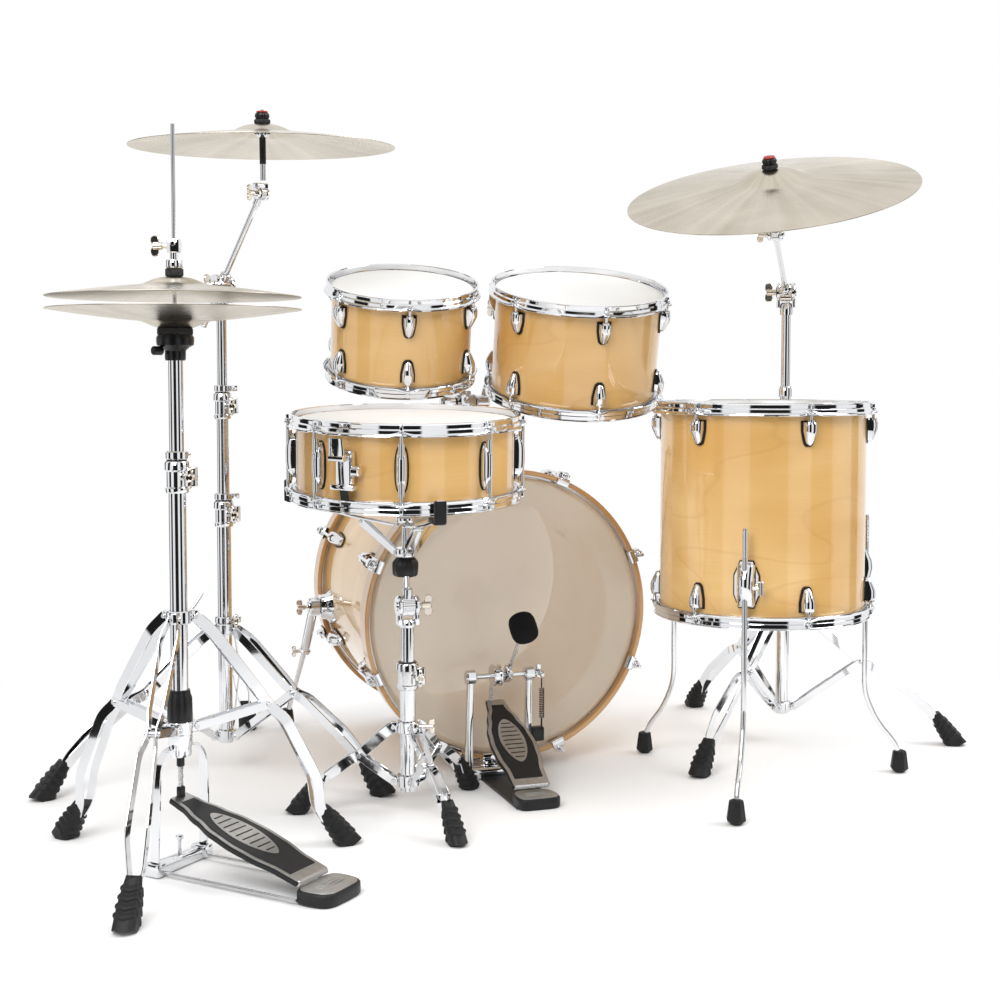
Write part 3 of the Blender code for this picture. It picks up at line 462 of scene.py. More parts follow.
def grainy(name, slot, colour, roughness, scale, strength, contrast=0.6, shine=0.35, metallic=0.0):
    """Rubber, plastic, felt or cast metal: a mottled colour and a fine grain."""
    look = Look(name, slot, colour, roughness, Specular_IOR_Level=shine, Metallic=metallic)
    place = look.coordinates()
    mottle = look.noise(place, scale * 0.12, 4.0, 0.3)
    look.set("Base Color", look.ramp(mottle, [(0.35, scaled(colour, contrast)), (0.65, colour)]))
    look.set("Roughness", look.spread(mottle, roughness * 0.85, min(1.0, roughness * 1.2)))
    look.bump(look.noise(place, scale, 3.0), strength, 0.0004)
    return look


CHROME = metal("chrome", "chrome", (0.80, 0.81, 0.83), 0.050)
HOOP_CHROME = metal("hoop_chrome", "chrome_hoop", (0.82, 0.83, 0.85), 0.040)
SATIN = metal("satin_steel", "chrome", (0.72, 0.73, 0.75), 0.22)
STEEL = metal("bright_steel", "steel_parts", (0.62, 0.62, 0.63), 0.25)
WING = metal("wing_nut_nickel", "chrome", (0.80, 0.74, 0.66), 0.12)
WIRES = metal("snare_wire", "snare_wire", (0.66, 0.66, 0.66), 0.28)
MAPLE = lacquered_maple("maple_shell", "maple_shell", (0.86, 0.57, 0.24), (0.70, 0.40, 0.12))
HOOP_MAPLE = lacquered_maple("maple_hoop", "maple_hoop", (0.70, 0.41, 0.16), (0.52, 0.26, 0.08))
COATED = drum_film("coated_film", "coated_head", (0.90, 0.89, 0.87), 0.55, 1.0, 0.25)
# The front and beige films glow faintly: painted light that brightens the bass drum's heads.
FRONT_FILM = drum_film("front_film", "coated_head", (0.86, 0.84, 0.80), 0.45, 1.0, 0.15, 0.42)
BEIGE_FILM = drum_film("beige_film", "clear_head", (0.82, 0.73, 0.60), 0.12, 0.36, 0, 0.08)
CLEAR = drum_film("clear_film", "clear_head", (0.86, 0.82, 0.76), 0.10, 0.35, 0)
MUFFLE = drum_film("muffle_ring", "clear_head", (0.88, 0.85, 0.80), 0.18, 0.30, 0)
BRONZE = cymbal_bronze()
RUBBER = grainy("black_rubber", "black_rubber", (0.007, 0.007, 0.008), 0.50, 900, 0.20)
PLASTIC = grainy("black_plastic", "black_plastic", (0.007, 0.007, 0.008), 0.30, 500, 0.08, shine=0.4)
FELT = grainy("grey_felt", "grey_felt", (0.045, 0.045, 0.045), 0.95, 1500, 0.8, 0.5, 0.2)
BEATER_FELT = grainy("black_felt", "beater", (0.006, 0.006, 0.007), 0.9, 1200, 0.5, 0.5, 0.2)
BOARD_SILVER = grainy("board_silver", "footboard", (0.55, 0.54, 0.52), 0.34, 700, 0.10, 0.85, 0.5, 1.0)
BOARD_BLACK = grainy("board_black", "footboard", (0.010, 0.010, 0.011), 0.42, 800, 0.22)
RED = grainy("red_plastic", "black_plastic", (0.45, 0.02, 0.02), 0.4, 500, 0.08, shine=0.5)


# ---- Drums --------------------------------------------------------------------------------------------
HOOP_LIP = 0.0058  # from the shell to the inside of a hoop
WOOD_HOOP = 0.0082  # thickness of a wooden hoop


class Drum:
    """A drum's frame and size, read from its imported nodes. The frame's Z points out of the batter head."""

    def __init__(self, name, body, first_lug, lug_count):
        self.name = name
        self.body = body
        batter, reso = middle_of(name + "_batter_head"), middle_of(name + "_reso_head")
        self.axis = (batter - reso).normalized()
        heights = [(corner - batter).dot(self.axis) for corner in corners_of(name + "_batter_hoop")]
        self.place = frame_at(batter + self.axis * max(heights), self.axis)
        lows = [(corner - reso).dot(-self.axis) for corner in corners_of(name + "_reso_hoop")]
        self.depth = (batter - reso).length + max(heights) + max(lows)
        reaches = [(corner - batter).cross(self.axis).length for corner in corners_of(name + "_batter_hoop")]
        self.radius = min(reaches) - HOOP_LIP
        self.lugs = [math.radians(first_lug) + math.tau * step / lug_count for step in range(lug_count)]

    def end(self, side):
        """The frame of one end's rim, with Z out of the drum."""
        if side == "batter":
            return self.place
        return self.place @ Matrix.Translation((0, 0, -self.depth)) @ Matrix.Rotation(math.pi, 4, "X")

    def ends(self):
        """Each end's name, frame, and the angles of its lugs in that frame."""
        mirrored = [-angle for angle in self.lugs]
        return (("batter", self.end("batter"), self.lugs), ("reso", self.end("reso"), mirrored))

    def on_side(self, place, angle, out, down):
        """A frame on the shell below an end's rim: X out of the shell, Z towards that end's rim."""
        turn = Matrix.Rotation(angle, 4, "Z")
        return place @ turn @ Matrix.Translation((self.radius + out, 0, -down))


def shell(drum, rise, wall=0.006):
    """A wooden cylinder with bevelled edges, open at both ends."""
    top = -(rise + 0.0013)
    low = top - (drum.depth + 2 * top)
    r, inner, cut = drum.radius, drum.radius - wall, wall * 0.45
    profile = [
        (r, top - cut), (r, low + cut), (r - cut, low), (inner + 0.0008, low + 0.0022), (inner, low + 0.006),
        (inner, top - 0.006), (inner + 0.0008, top - 0.0022), (r - cut, top),
    ]
    name = drum.name + "_shell"
    piece(name + "_wood", MAPLE, drum.body, [turned(profile, drum.place, 128)], [name], (drum.place, r))


def flanged_hoop(drum, side, place, lugs):
    """A folded steel hoop: a rolled lip, a stepped wall, and a flange with an ear at every lug."""
    inner = drum.radius + HOOP_LIP
    sides = 192
    rings = []
    for step in range(sides):
        angle = math.tau * step / sides
        away = min(abs((angle - lug + math.pi) % math.tau - math.pi) for lug in lugs) * drum.radius
        ear = 0.5 + 0.5 * math.cos(math.pi * min(1.0, away / 0.019))
        lift = 0.0035 * ear
        edge = inner + 0.0078 + 0.0056 * ear
        section = [
            (inner, -0.001), (inner + 0.0008, 0), (inner + 0.0036, 0), (inner + 0.0046, -0.0010),
            (inner + 0.0042, -0.0022), (inner + 0.0023, -0.0030), (inner + 0.0020, -0.0085),
            (inner + 0.0042, -0.0108), (inner + 0.0042, -0.0158 + lift), (inner + 0.0060, -0.0178 + lift),
            (edge, -0.0186 + lift), (edge + 0.0004, -0.0200 + lift), (edge - 0.0006, -0.0210 + lift),
            (inner + 0.0040, -0.0200 + lift), (inner + 0.0022, -0.0172 + lift), (inner + 0.0022, -0.0118),
            (inner, -0.0096),
        ]
        turn = place @ Matrix.Rotation(angle, 4, "Z")
        rings.append([turn @ Vector((reach, 0, height)) for reach, height in section])
    name = f"{drum.name}_{side}_hoop"
    piece(name + "_chrome", HOOP_CHROME, drum.body, [lofted(rings, looped=True)], [name])


def wood_hoop(drum, side, place):
    """A bent maple hoop with softened edges."""
    inner = drum.radius + HOOP_LIP
    outer, low, cut = inner + WOOD_HOOP, -0.038, 0.0016
    profile = [
        (inner, -cut), (inner + cut, 0), (outer - cut, 0), (outer, -cut),
        (outer, low + cut), (outer - cut, low), (inner + cut, low), (inner, low + cut),
    ]
    name = f"{drum.name}_{side}_hoop"
    piece(name + "_wood", HOOP_MAPLE, drum.body, [turned(profile, place, 144)], [name], (place, inner))


def head(drum, side, place, rise, look):
    """The film with its collar, and the aluminium ring at its rim that the hoop presses on."""
    r = drum.radius
    top, thick = -rise, 0.0004
    film = [
        (0, top - 0.0012), (r - 0.014, top - 0.0012), (r - 0.010, top - 0.0004), (r - 0.004, top),
        (r + 0.0012, top - 0.0020), (r + 0.0022, top - 0.0080), (r + 0.0022 - thick, top - 0.0080),
        (r + 0.0008, top - 0.0022), (r - 0.004, top - thick), (r - 0.010, top - 0.0004 - thick),
        (r - 0.014, top - 0.0012 - thick), (0, top - 0.0012 - thick),
    ]
    ring = [
        (r + 0.0024, top - 0.0035), (r + 0.0052, top - 0.0035), (r + 0.0052, top - 0.0120),
        (r + 0.0010, top - 0.0120), (r + 0.0010, top - 0.0085), (r + 0.0024, top - 0.0085),
    ]
    name = f"{drum.name}_{side}_head"
    piece(name + "_film", look, drum.body, [turned(film, place, 96)], [name])
    piece(name + "_ring", SATIN, drum.body, [turned(ring, place, 96)])


def lug_half_width(share, width):
    """Half a lug's width at a share of its length: square at the rim end, narrow and round at the other."""
    taper = max(0.0, (share - 0.36) / 0.64)
    tip = max(0.0, (share - 0.86) / 0.14)
    return width / 2 * (1 - 0.50 * taper**1.2) * math.sqrt(max(0.08, 1 - tip * tip))


def lug_casting(place, length, width, depth):
    """A casting that is square at the rim end, where its barrel is, and thins to a rounded foot."""
    rings = []
    rows = 16
    for row in range(rows + 1):
        share = row / rows
        half = lug_half_width(share, width)
        out = depth * (1 - 0.62 * max(0.0, (share - 0.40) / 0.60) ** 1.2) * min(1.0, 0.90 + share)
        ring = []
        for step in range(13):
            angle = math.pi * step / 12
            across, lift = math.cos(angle), math.sin(angle)
            across = math.copysign(abs(across) ** 0.65, across)
            ring.append(place @ Vector((0.001 + out * lift**0.75, half * across, (0.5 - share) * length)))
        rings.append(ring)
    axle = Vector((depth * 0.60, 0, 0))
    collar = rod(place @ (axle + UP * length * 0.46), place @ (axle + UP * length * 0.60), 0.0064)
    return [lofted(rings), collar]


def lug_gasket(place, length, width):
    """The rubber between a lug and its shell, which shows all round the casting."""
    margin, rows = 0.0026, 14
    side = []
    for row in range(rows + 1):
        share = row / rows
        side.append((lug_half_width(share, width) + margin, (0.5 - share) * (length + 2 * margin)))
    outline = [(-y, z) for y, z in side] + side[::-1]
    return plate(outline, moved(place @ SIDEWAYS, 0, 0, -0.0004), 0.0018, 0.0005)


def tension_rod(drum, place, angle, reach, low):
    """A tension rod from its lug up through the hoop's ear, with a washer and a square head."""
    line = moved(drum.on_side(place, angle, 0, 0), reach, 0, -0.0152)
    return [
        pin(line, (0, 0, 0.0152 - low), (0, 0, 0), 0.0027, 12),
        pin(line, (0, 0, 0), (0, 0, 0.0016), 0.0056, 18),
        pin(line, (0, 0, 0.0016), (0, 0, 0.0052), 0.0042, 18),
        block(moved(line, 0, 0, 0.0082), 0.0050, 0.0050, 0.0070, 0.0006),
    ]


def tensioners(drum, length, width, depth, inset):
    """Every lug, gasket and tension rod of a drum with metal hoops."""
    castings, gaskets, rods = [], [], []
    for _, place, lugs in drum.ends():
        for angle in lugs:
            middle = drum.on_side(place, angle, 0.0008, inset)
            castings += lug_casting(middle, length, width, depth)
            gaskets.append(lug_gasket(middle, length, width))
            rods += tension_rod(drum, place, angle, 0.0008 + depth * 0.60, inset - length * 0.5)
    piece(drum.name + "_lugs", CHROME, drum.body, castings)
    piece(drum.name + "_lug_gaskets", RUBBER, drum.body, gaskets)
    piece(drum.name + "_tension_rods", HOOP_CHROME, drum.body, rods)


def oval_casting(place, half_length, half_width, depth):
    """A casting that swells from both ends to its middle."""
    rings = []
    rows = 18
    for row in range(rows + 1):
        t = row / rows * 2 - 1
        swell = max(0.10, 1 - abs(t) ** 3.2) ** 0.5
        ring = []
        for step in range(13):
            turn = math.pi * step / 12
            across = math.copysign(abs(math.cos(turn)) ** 0.8, math.cos(turn))
            out = 0.0010 + depth * swell * math.sin(turn) ** 0.7
            ring.append(place @ Vector((out, half_width * swell * across, t * half_length)))
        rings.append(ring)
    return lofted(rings)


def bridge_lugs(drum):
    """The snare's long tube lugs, each through an oval body, with rods into both ends."""
    bodies, gaskets, rods = [], [], []
    half = (drum.depth - 0.058) / 2
    for angle in drum.lugs:
        middle = drum.on_side(drum.place, angle, 0, drum.depth / 2)
        bodies.append(oval_casting(middle, 0.036, 0.0090, 0.0165))
        bodies.append(pin(middle, (0.0115, 0, -half), (0.0115, 0, half), 0.0052, 20))
        gaskets.append(plate(oval(0.0112, 0.0384, 32, 0.8), moved(middle @ SIDEWAYS, 0, 0, -0.0002), 0.0018))
    for _, place, lugs in drum.ends():
        for angle in lugs:
            rods += tension_rod(drum, place, angle, 0.0140, 0.034)
    piece(drum.name + "_lugs", CHROME, drum.body, bodies)
    piece(drum.name + "_lug_gaskets", RUBBER, drum.body, gaskets)
    piece(drum.name + "_tension_rods", HOOP_CHROME, drum.body, rods)


def metal_hooped_drum(drum):
    """A shell with a coated head on top, a clear one below, and steel hoops."""
    rise = 0.009
    shell(drum, rise)
    for (side, place, lugs), look in zip(drum.ends(), (COATED, CLEAR)):
        flanged_hoop(drum, side, place, lugs)
        head(drum, side, place, rise, look)


def claw(drum, place, angle):
    """A claw that hooks over the wood hoop, and the T-rod that pulls it towards its lug."""
    spot = drum.on_side(place, angle, HOOP_LIP, 0)
    bends = (
        (-0.0030, -0.0040), (-0.0030, 0.0022), (WOOD_HOOP * 0.5, 0.0034),
        (WOOD_HOOP + 0.0022, 0.0024), (WOOD_HOOP + 0.0030, -0.030), (WOOD_HOOP + 0.0060, -0.040),
    )
    path = [spot @ point for point in rounded([Vector((out, 0, height)) for out, height in bends], 0.003)]
    strap = swept(path, flat_section(0.024, 0.0030, 0.0008), spot.to_3x3() @ FRONT)
    eye = block(moved(spot, WOOD_HOOP + 0.0075, 0, -0.014), 0.013, 0.017, 0.024, 0.004)
    line = moved(spot, WOOD_HOOP + 0.0085, 0, 0)
    solids = [strap, eye]
    stem, washer_disc, hub = (-0.095, 0.006, 0.0030, 14), (0.0, 0.004, 0.0062, 18), (0.003, 0.009, 0.0046, 14)
    for low, high, radius, sides in (stem, washer_disc, hub):
        solids.append(pin(line, (0, 0, low), (0, 0, high), radius, sides))
    solids.append(block(moved(line, 0, 0, 0.0125), 0.0055, 0.0055, 0.0090, 0.0006))
    return solids


def bass_drum(drum):
    """A deep shell with wooden hoops, claws, large lugs and a muffling ring behind its batter head."""
    rise = 0.010
    shell(drum, rise, 0.007)
    castings, gaskets, claws, screws = [], [], [], []
    for (side, place, lugs), look in zip(drum.ends(), (BEIGE_FILM, FRONT_FILM)):
        wood_hoop(drum, side, place)
        head(drum, side, place, rise, look)
        for angle in lugs:
            claws += claw(drum, place, angle)
            middle = drum.on_side(place, angle, 0.0008, 0.100)
            castings += lug_casting(middle, 0.052, 0.026, 0.021)
            gaskets.append(lug_gasket(middle, 0.052, 0.026))
            for height in (-0.013, 0.013):
                screws.append(pin(middle, (-0.0115, 0, height), (-0.0075, 0, height), 0.0055, 16, 0.0012))
    piece("bass_drum_lugs", CHROME, drum.body, castings)
    piece("bass_drum_lug_gaskets", RUBBER, drum.body, gaskets)
    piece("bass_drum_claws", CHROME, drum.body, claws)
    piece("bass_drum_lug_screws", SATIN, drum.body, screws)
    r, under = drum.radius - 0.006, -rise - 0.0024
    ring = [(r - 0.050, under), (r, under), (r, under - 0.0005), (r - 0.050, under - 0.0005)]
    piece("bass_drum_muffle_ring", MUFFLE, drum.body, [turned(ring, drum.place, 96)])


BASS = Drum("bass_drum", "kit_base", 22.5, 8)
SMALL_TOM = Drum("small_tom", "small_tom", 261, 6)
LARGE_TOM = Drum("large_tom", "large_tom", 266, 6)
FLOOR_TOM = Drum("floor_tom", "kit_base", 266, 6)
SNARE = Drum("snare_drum", "snare", 253, 8)


def drums():
    bass_drum(BASS)
    for drum in (SMALL_TOM, LARGE_TOM):
        metal_hooped_drum(drum)
        tensioners(drum, 0.036, 0.021, 0.0165, 0.050)
    metal_hooped_drum(FLOOR_TOM)
    tensioners(FLOOR_TOM, 0.038, 0.022, 0.0170, 0.050)
    metal_hooped_drum(SNARE)
    bridge_lugs(SNARE)


# ---- Fittings that several stands share ---------------------------------------------------------------
def wing_bolt(place, reach, size=1.0):
    """A bolt along the place's X with a two-lobed wing on its end."""
    wing = moved(place @ SIDEWAYS, 0, 0, reach)
    solids = [pin(place, (-0.010, 0, 0), (reach, 0, 0), 0.0034, 14)]
    for side in (-1, 1):
        lobe = moved(wing, 0, side * 0.0085 * size, 0.0055 * size) @ Matrix.Rotation(math.pi / 2, 4, "Y")
        outline = oval(0.0062 * size, 0.0075 * size, 20, 0.8)
        solids.append(plate(outline, moved(lobe, 0, 0, -0.0022), 0.0044, 0.0012))
    solids.append(pin(place, (reach - 0.006, 0, 0), (reach + 0.009 * size, 0, 0), 0.0058 * size, 16, 0.0012))
    return solids


def clamp(column, top, radius, direction, height=0.046):
    """A cast height clamp: a ribbed collar with a split ear, its bolt and wing."""
    out = heading(direction)
    low = top - height
    profile = [
        (radius - 0.0052, low), (radius - 0.0022, low), (radius - 0.0010, low + 0.0020),
        (radius - 0.0010, low + 0.0070), (radius - 0.0028, low + 0.0086),
        (radius - 0.0028, top - 0.0150), (radius, top - 0.0125),
        (radius, top - 0.0020), (radius - 0.0015, top), (radius - 0.0060, top),
        (radius - 0.0072, top - 0.0010), (radius - 0.0072, low + 0.0010),
    ]
    ear = beside(column, out, radius + 0.001, top - height * 0.5)
    solids = [turned(profile, frame_at(column), 36)]
    for side in (1, -1):
        solids.append(block(moved(ear, 0.002, side * 0.0048, 0), 0.016, 0.0062, height * 0.62, 0.0018))
    bolt = frame_at(ear @ Vector((0.004, 0, 0)), UP, out.cross(UP))
    solids.append(pin(bolt, (-0.0125, 0, 0), (0.010, 0, 0), 0.0052, 18))
    return solids, wing_bolt(bolt, 0.016)


def rubber_foot(place, out, reach, size=1.0):
    """A ribbed rubber boot round the end of a leg, flat where it stands."""
    across = out.cross(UP)
    start = place + out * (reach - 0.028) + UP * 0.056
    end = place + out * (reach + 0.016 * size) - UP * 0.004
    slope = (end - start).normalized()
    lift = across.cross(slope)
    if lift.z < 0:
        lift = -lift
    rings = []
    rows = 24
    for row in range(rows + 1):
        t = row / rows
        rib = 0.0022 if row % 4 in (1, 2) and 0.1 < t < 0.86 else 0
        wide = (0.0105 + 0.0055 * math.sin(min(1, t * 1.25) * math.pi / 2)) * size + rib
        thick = (0.0110 + 0.0080 * t) * size + rib
        centre = start.lerp(end, t) + lift * 0.002
        ring = []
        for a, b in oval(wide, thick, 20, 0.62):
            chevron = slope * (0.006 * (1 - abs(a) / wide) - 0.003) * math.copysign(1, b)
            point = centre + across * a + lift * b + chevron
            point.z = max(point.z, 0.0)
            ring.append(point)
        rings.append(ring)
    return lofted(rings)


class Tripod:
    """Heights and reaches of a stand's legs, all measured from its column."""

    def __init__(self, upper, lower, knee, arch, foot_reach, spread, foot_size=1.0):
        self.upper = upper  # height of the collar that the legs hang from
        self.lower = lower  # height of the collar that the braces hang from
        self.knee = knee  # where a brace meets its leg
        self.arch = arch  # points of the leg between knee and foot
        self.foot_reach = foot_reach
        self.spread = spread  # half the gap between a leg's two rails
        self.foot_size = foot_size


HIHAT_TRIPOD = Tripod(0.371, 0.208, (0.132, 0.230), [(0.157, 0.207), (0.205, 0.110)], 0.246, 0.0125)
BOOM_TRIPOD = Tripod(0.263, 0.069, (0.150, 0.160), [(0.175, 0.152), (0.250, 0.098)], 0.322, 0.0110)
SNARE_TRIPOD = Tripod(0.146, 0.057, (0.080, 0.098), [(0.095, 0.092), (0.138, 0.058)], 0.174, 0.0085, 0.85)
RAIL = 0.0024  # thickness of a leg's rail
RAIL_DEPTH = 0.0165
COLLAR = 0.0105  # from a stand's tube to the pins that its legs hang from


def thirds(first):
    """The headings of three legs, the first at this one."""
    return [(first + 120 * step) % 360 for step in range(3)]


def rail_path(place, out, reaches, offsets):
    across = out.cross(UP)
    spots = [place + out * reach + UP * height for reach, height in reaches]
    return [spot + across * offset for spot, offset in zip(spots, offsets)]


def leg_rails(place, out, shape):
    """A leg's two rails and its brace's two, bowed apart between the pins that join them."""
    start = TUBE + COLLAR
    span = shape.knee[0] - start
    drop = shape.upper - shape.knee[1]
    rise = shape.knee[1] - shape.lower
    shoulder = (start + span * 0.22, shape.upper - drop * 0.16)
    above = (start + span * 0.86, shape.knee[1] + drop * 0.16)
    ends = [(shape.foot_reach - 0.036, 0.064), (shape.foot_reach - 0.020, 0.038)]
    leg = [(start, shape.upper), shoulder, above, shape.knee, *shape.arch, *ends]
    brace = [(start, shape.lower), (start + span * 0.25, shape.lower + rise * 0.25), shape.knee]
    wide = shape.spread
    leg_bow = [0.0065, wide, wide * 0.8, 0.0048, wide * 0.9, wide * 1.15, wide * 0.8, 0.0036]
    brace_bow = [0.0065, 0.0092, 0.0076]
    pairs = ((leg, leg_bow, 0.012, 4, 1), (brace, brace_bow, 0.010, 3, 0.78))
    rails = []
    for side in (-1, 1):
        for reaches, bow, bend, steps, depth in pairs:
            path = rounded(rail_path(place, out, reaches, [side * offset for offset in bow]), bend, steps)
            rails.append(swept(path, flat_section(RAIL, RAIL_DEPTH * depth), out.cross(UP)))
    return rails


def leg_collar(place, height, legs):
    """The ring that legs or braces hang from, with an ear for each."""
    inner, outer = TUBE + 0.0005, TUBE + 0.0062
    chamfered = outer - 0.0012
    ring = [
        (inner, height - 0.0095), (chamfered, height - 0.0095), (outer, height - 0.0080),
        (outer, height + 0.0080), (chamfered, height + 0.0095), (inner, height + 0.0095),
    ]
    solids = [turned(ring, frame_at(place), 36)]
    for degrees in legs:
        ear = beside(place, heading(degrees), TUBE + 0.0090, height)
        solids.append(block(ear, 0.012, 0.0095, 0.016, 0.0012))
    return solids


def tripod(name, place, first_leg, shape):
    """Legs and braces of paired flat rails, with rivets, rubber feet, and collars that carry them."""
    rails, rivets, feet, collars = [], [], [], []
    start = TUBE + COLLAR
    legs = thirds(first_leg)
    for degrees in legs:
        out = heading(degrees)
        across = out.cross(UP)
        rails += leg_rails(place, out, shape)
        pins = (((start, shape.upper), 0.0100), ((start, shape.lower), 0.0100), (shape.knee, 0.0112))
        for (reach, height), half in pins:
            centre = place + out * reach + UP * height
            rivets.append(rod(centre - across * half, centre + across * half, 0.0036, 16))
        feet.append(rubber_foot(place, out, shape.foot_reach, shape.foot_size))
    for height in (shape.upper, shape.lower):
        collars += leg_collar(place, height, legs)
    piece(name + "_legs", CHROME, "kit_base", rails + collars)
    piece(name + "_leg_rivets", SATIN, "kit_base", rivets)
    piece(name + "_feet", RUBBER, "kit_base", feet)


def pipe(column, bottom, top, radius, wall=0.0016):
    """An upright tube with rounded ends."""
    cut = 0.0005
    profile = [
        (radius - cut, bottom), (radius, bottom + cut), (radius, top - cut), (radius - cut, top),
        (radius - wall, top), (radius - wall, bottom),
    ]
    return turned(profile, frame_at(column), 36)


def tube_cap(column, bottom):
    """The plug in the lower end of a stand's tube."""
    radius, top = TUBE - 0.0015, bottom + 0.007
    return turned([(0, bottom), (radius, bottom), (radius, top), (0, top)], frame_at(column), 24)


def bush(column, top, radius, inner):
    """The black plastic bush where a tube slides in a wider one."""
    low, high = top - 0.004, top + 0.0018
    profile = [(inner, low), (radius - 0.004, low), (radius - 0.0035, high), (inner, high)]
    return turned(profile, frame_at(column), 32)


def memory_lock(column, low, radius, direction):
    """A clamp ring that marks a tube's height, with its key screw."""
    inner, outer, high, cut = radius - 0.0005, radius + 0.0055, low + 0.012, 0.0015
    profile = [
        (inner, low), (outer - 0.0013, low), (outer, low + cut),
        (outer, high - cut), (outer - 0.0013, high), (inner, high),
    ]
    ear = beside(column, heading(direction), radius + 0.010, low + 0.006)
    screw = pin(ear, (0.002, -0.011, 0), (0.002, 0.011, 0), 0.0026, 12)
    return [turned(profile, frame_at(column), 32), block(ear, 0.013, 0.012, 0.0105, 0.0014), screw]


def washer(place, low, high, radius, bore, soft=0.0016):
    """A felt or rubber washer with rounded rims."""
    profile = [
        (bore, low), (radius - soft, low), (radius - soft * 0.3, low + soft * 0.5), (radius, low + soft),
        (radius, high - soft), (radius - soft * 0.3, high - soft * 0.5), (radius - soft, high), (bore, high),
    ]
    return turned(profile, place, 32)


def ratchet(pivot, axis, half, radius):
    """A toothed disc pair on a sideways axis."""
    solids = []
    for side in (-1, 1):
        outer = pivot + axis * side * half
        solids.append(rod(pivot + axis * side * (half - 0.0070), outer, radius, 36, 0.0016))
        solids.append(rod(outer, outer + axis * side * 0.0022, radius * 0.42, 24))
    return solids


def ratchet_cheeks(pivot, axis, radius):
    """The fork on top of a tube: a ratchet on two upright cheeks."""
    solids = ratchet(pivot, axis, 0.0178, radius)
    for side in (-1, 1):
        foot = frame_at(pivot + axis * side * 0.0144 - UP * 0.018, UP, axis)
        solids.append(block(foot, 0.0066, 0.022, 0.026, 0.0018))
    return solids


def toothed_hub(pivot, axis, half, radius):
    """The finely toothed disc between a ratchet's two halves."""
    points = 60
    outline = []
    for step in range(points):
        angle = math.tau * step / points
        reach = radius if step % 2 else radius * 0.94
        outline.append((reach * math.cos(angle), reach * math.sin(angle)))
    return plate(outline, frame_at(pivot - axis * half, axis, square_to(axis)), half * 2, 0.0004)


# ---- Cymbals ------------------------------------------------------------------------------------------
def cymbal(name, body, place, radius, bell_radius, bell, bow):
    """A turned cymbal from its hole to its edge: a domed bell, a shoulder and a long shallow bow."""
    thick, hole = 0.0013, 0.0062
    shoulder = bell_radius * 1.12
    steps = 34
    upper = []
    for step in range(steps + 1):
        r = hole + (radius - hole) * step / steps
        spread = max(0.0, (r - bell_radius) / (radius - bell_radius))
        height = bow * (1 - spread**1.25)
        if r < shoulder:
            height += bell * (0.5 + 0.5 * math.cos(math.pi * (r / shoulder) ** 1.7))
        upper.append((r, height))
    lower = [(r, height - thick) for r, height in reversed(upper)]
    upper.append((radius + 0.0002, -thick / 2))
    piece(name + "_bronze", BRONZE, body, [turned(upper + lower, place, 144)], [name], (place, radius, True))


# ---- Boom stands --------------------------------------------------------------------------------------
FIRST_CLAMP, SECOND_CLAMP = 0.494, 0.688  # heights of a boom stand's two clamps
THIN_TUBE = 0.0092  # radius of a boom stand's uppermost tube
CRASH_RADIUS = 0.2286  # the cymbal that the tilter's and bell's sizes are given for


class BoomStand:
    """Where a cymbal stand's joints are, and which way its wing nuts point."""

    def __init__(self, name, first_leg, wing_side):
        self.name = name
        self.first_leg = first_leg
        self.wing_side = wing_side
        self.pivot = pivot_of(name + "_boom_swing")
        self.swing = axis_of(name + "_boom_swing")
        self.end = pivot_of(name + "_cymbal_tilt")
        self.centre = pivot_of(name + "_cymbal_spin")
        self.normal = axis_of(name + "_cymbal_spin")
        self.column = Vector((self.pivot.x, self.pivot.y, 0))

    def lock(self, low, radius):
        return memory_lock(self.column, low, radius, self.wing_side + 25)


def boom_base(stand):
    """The tripod, the floor tube with its clamp, and the lock on the legs' collar."""
    name, column = stand.name, stand.column
    tripod(name + "_stand", column, stand.first_leg, BOOM_TRIPOD)
    collar, wing = clamp(column, FIRST_CLAMP, 0.0182, stand.wing_side)
    tube = pipe(column, 0.055, FIRST_CLAMP - 0.010, TUBE)
    plastic = [bush(column, FIRST_CLAMP, 0.0182, SLIM_TUBE + 0.0004), tube_cap(column, 0.055)]
    piece(name + "_base_tube", CHROME, "kit_base", [tube, *collar], [name + "_stand_base"])
    piece(name + "_base_wing", WING, "kit_base", wing)
    piece(name + "_base_bush", PLASTIC, "kit_base", plastic)
    out = heading(stand.wing_side)
    low = BOOM_TRIPOD.upper + 0.0105
    bolt = frame_at(column + out * (TUBE + 0.012) + UP * (low + 0.006), UP, out.cross(UP))
    piece(name + "_leg_lock", CHROME, "kit_base", memory_lock(column, low, TUBE, stand.wing_side))
    piece(name + "_leg_lock_wing", WING, "kit_base", wing_bolt(bolt, 0.014, 0.8))


def boom_middle(stand):
    """A middle tube with its clamp, and the upper tube that slides in it."""
    name, column = stand.name, stand.column
    body = name + "_middle"
    collar, wing = clamp(column, SECOND_CLAMP, 0.0165, stand.wing_side)
    tube = pipe(column, 0.335, SECOND_CLAMP - 0.010, SLIM_TUBE)
    base_lock = stand.lock(FIRST_CLAMP + 0.0024, SLIM_TUBE + GAP)
    piece(name + "_base_memory_lock", CHROME, "kit_base", base_lock)
    piece(name + "_middle_tube", CHROME, body, [tube, *collar], [name + "_stand_middle_tube"])
    piece(name + "_middle_wing", WING, body, wing)
    piece(name + "_middle_bush", PLASTIC, body, [bush(column, SECOND_CLAMP, 0.0165, 0.0096)])
    middle_lock = stand.lock(SECOND_CLAMP + 0.0024, THIN_TUBE + GAP)
    piece(name + "_middle_memory_lock", CHROME, body, middle_lock)
    return [pipe(column, 0.565, stand.pivot.z - 0.028, THIN_TUBE)]


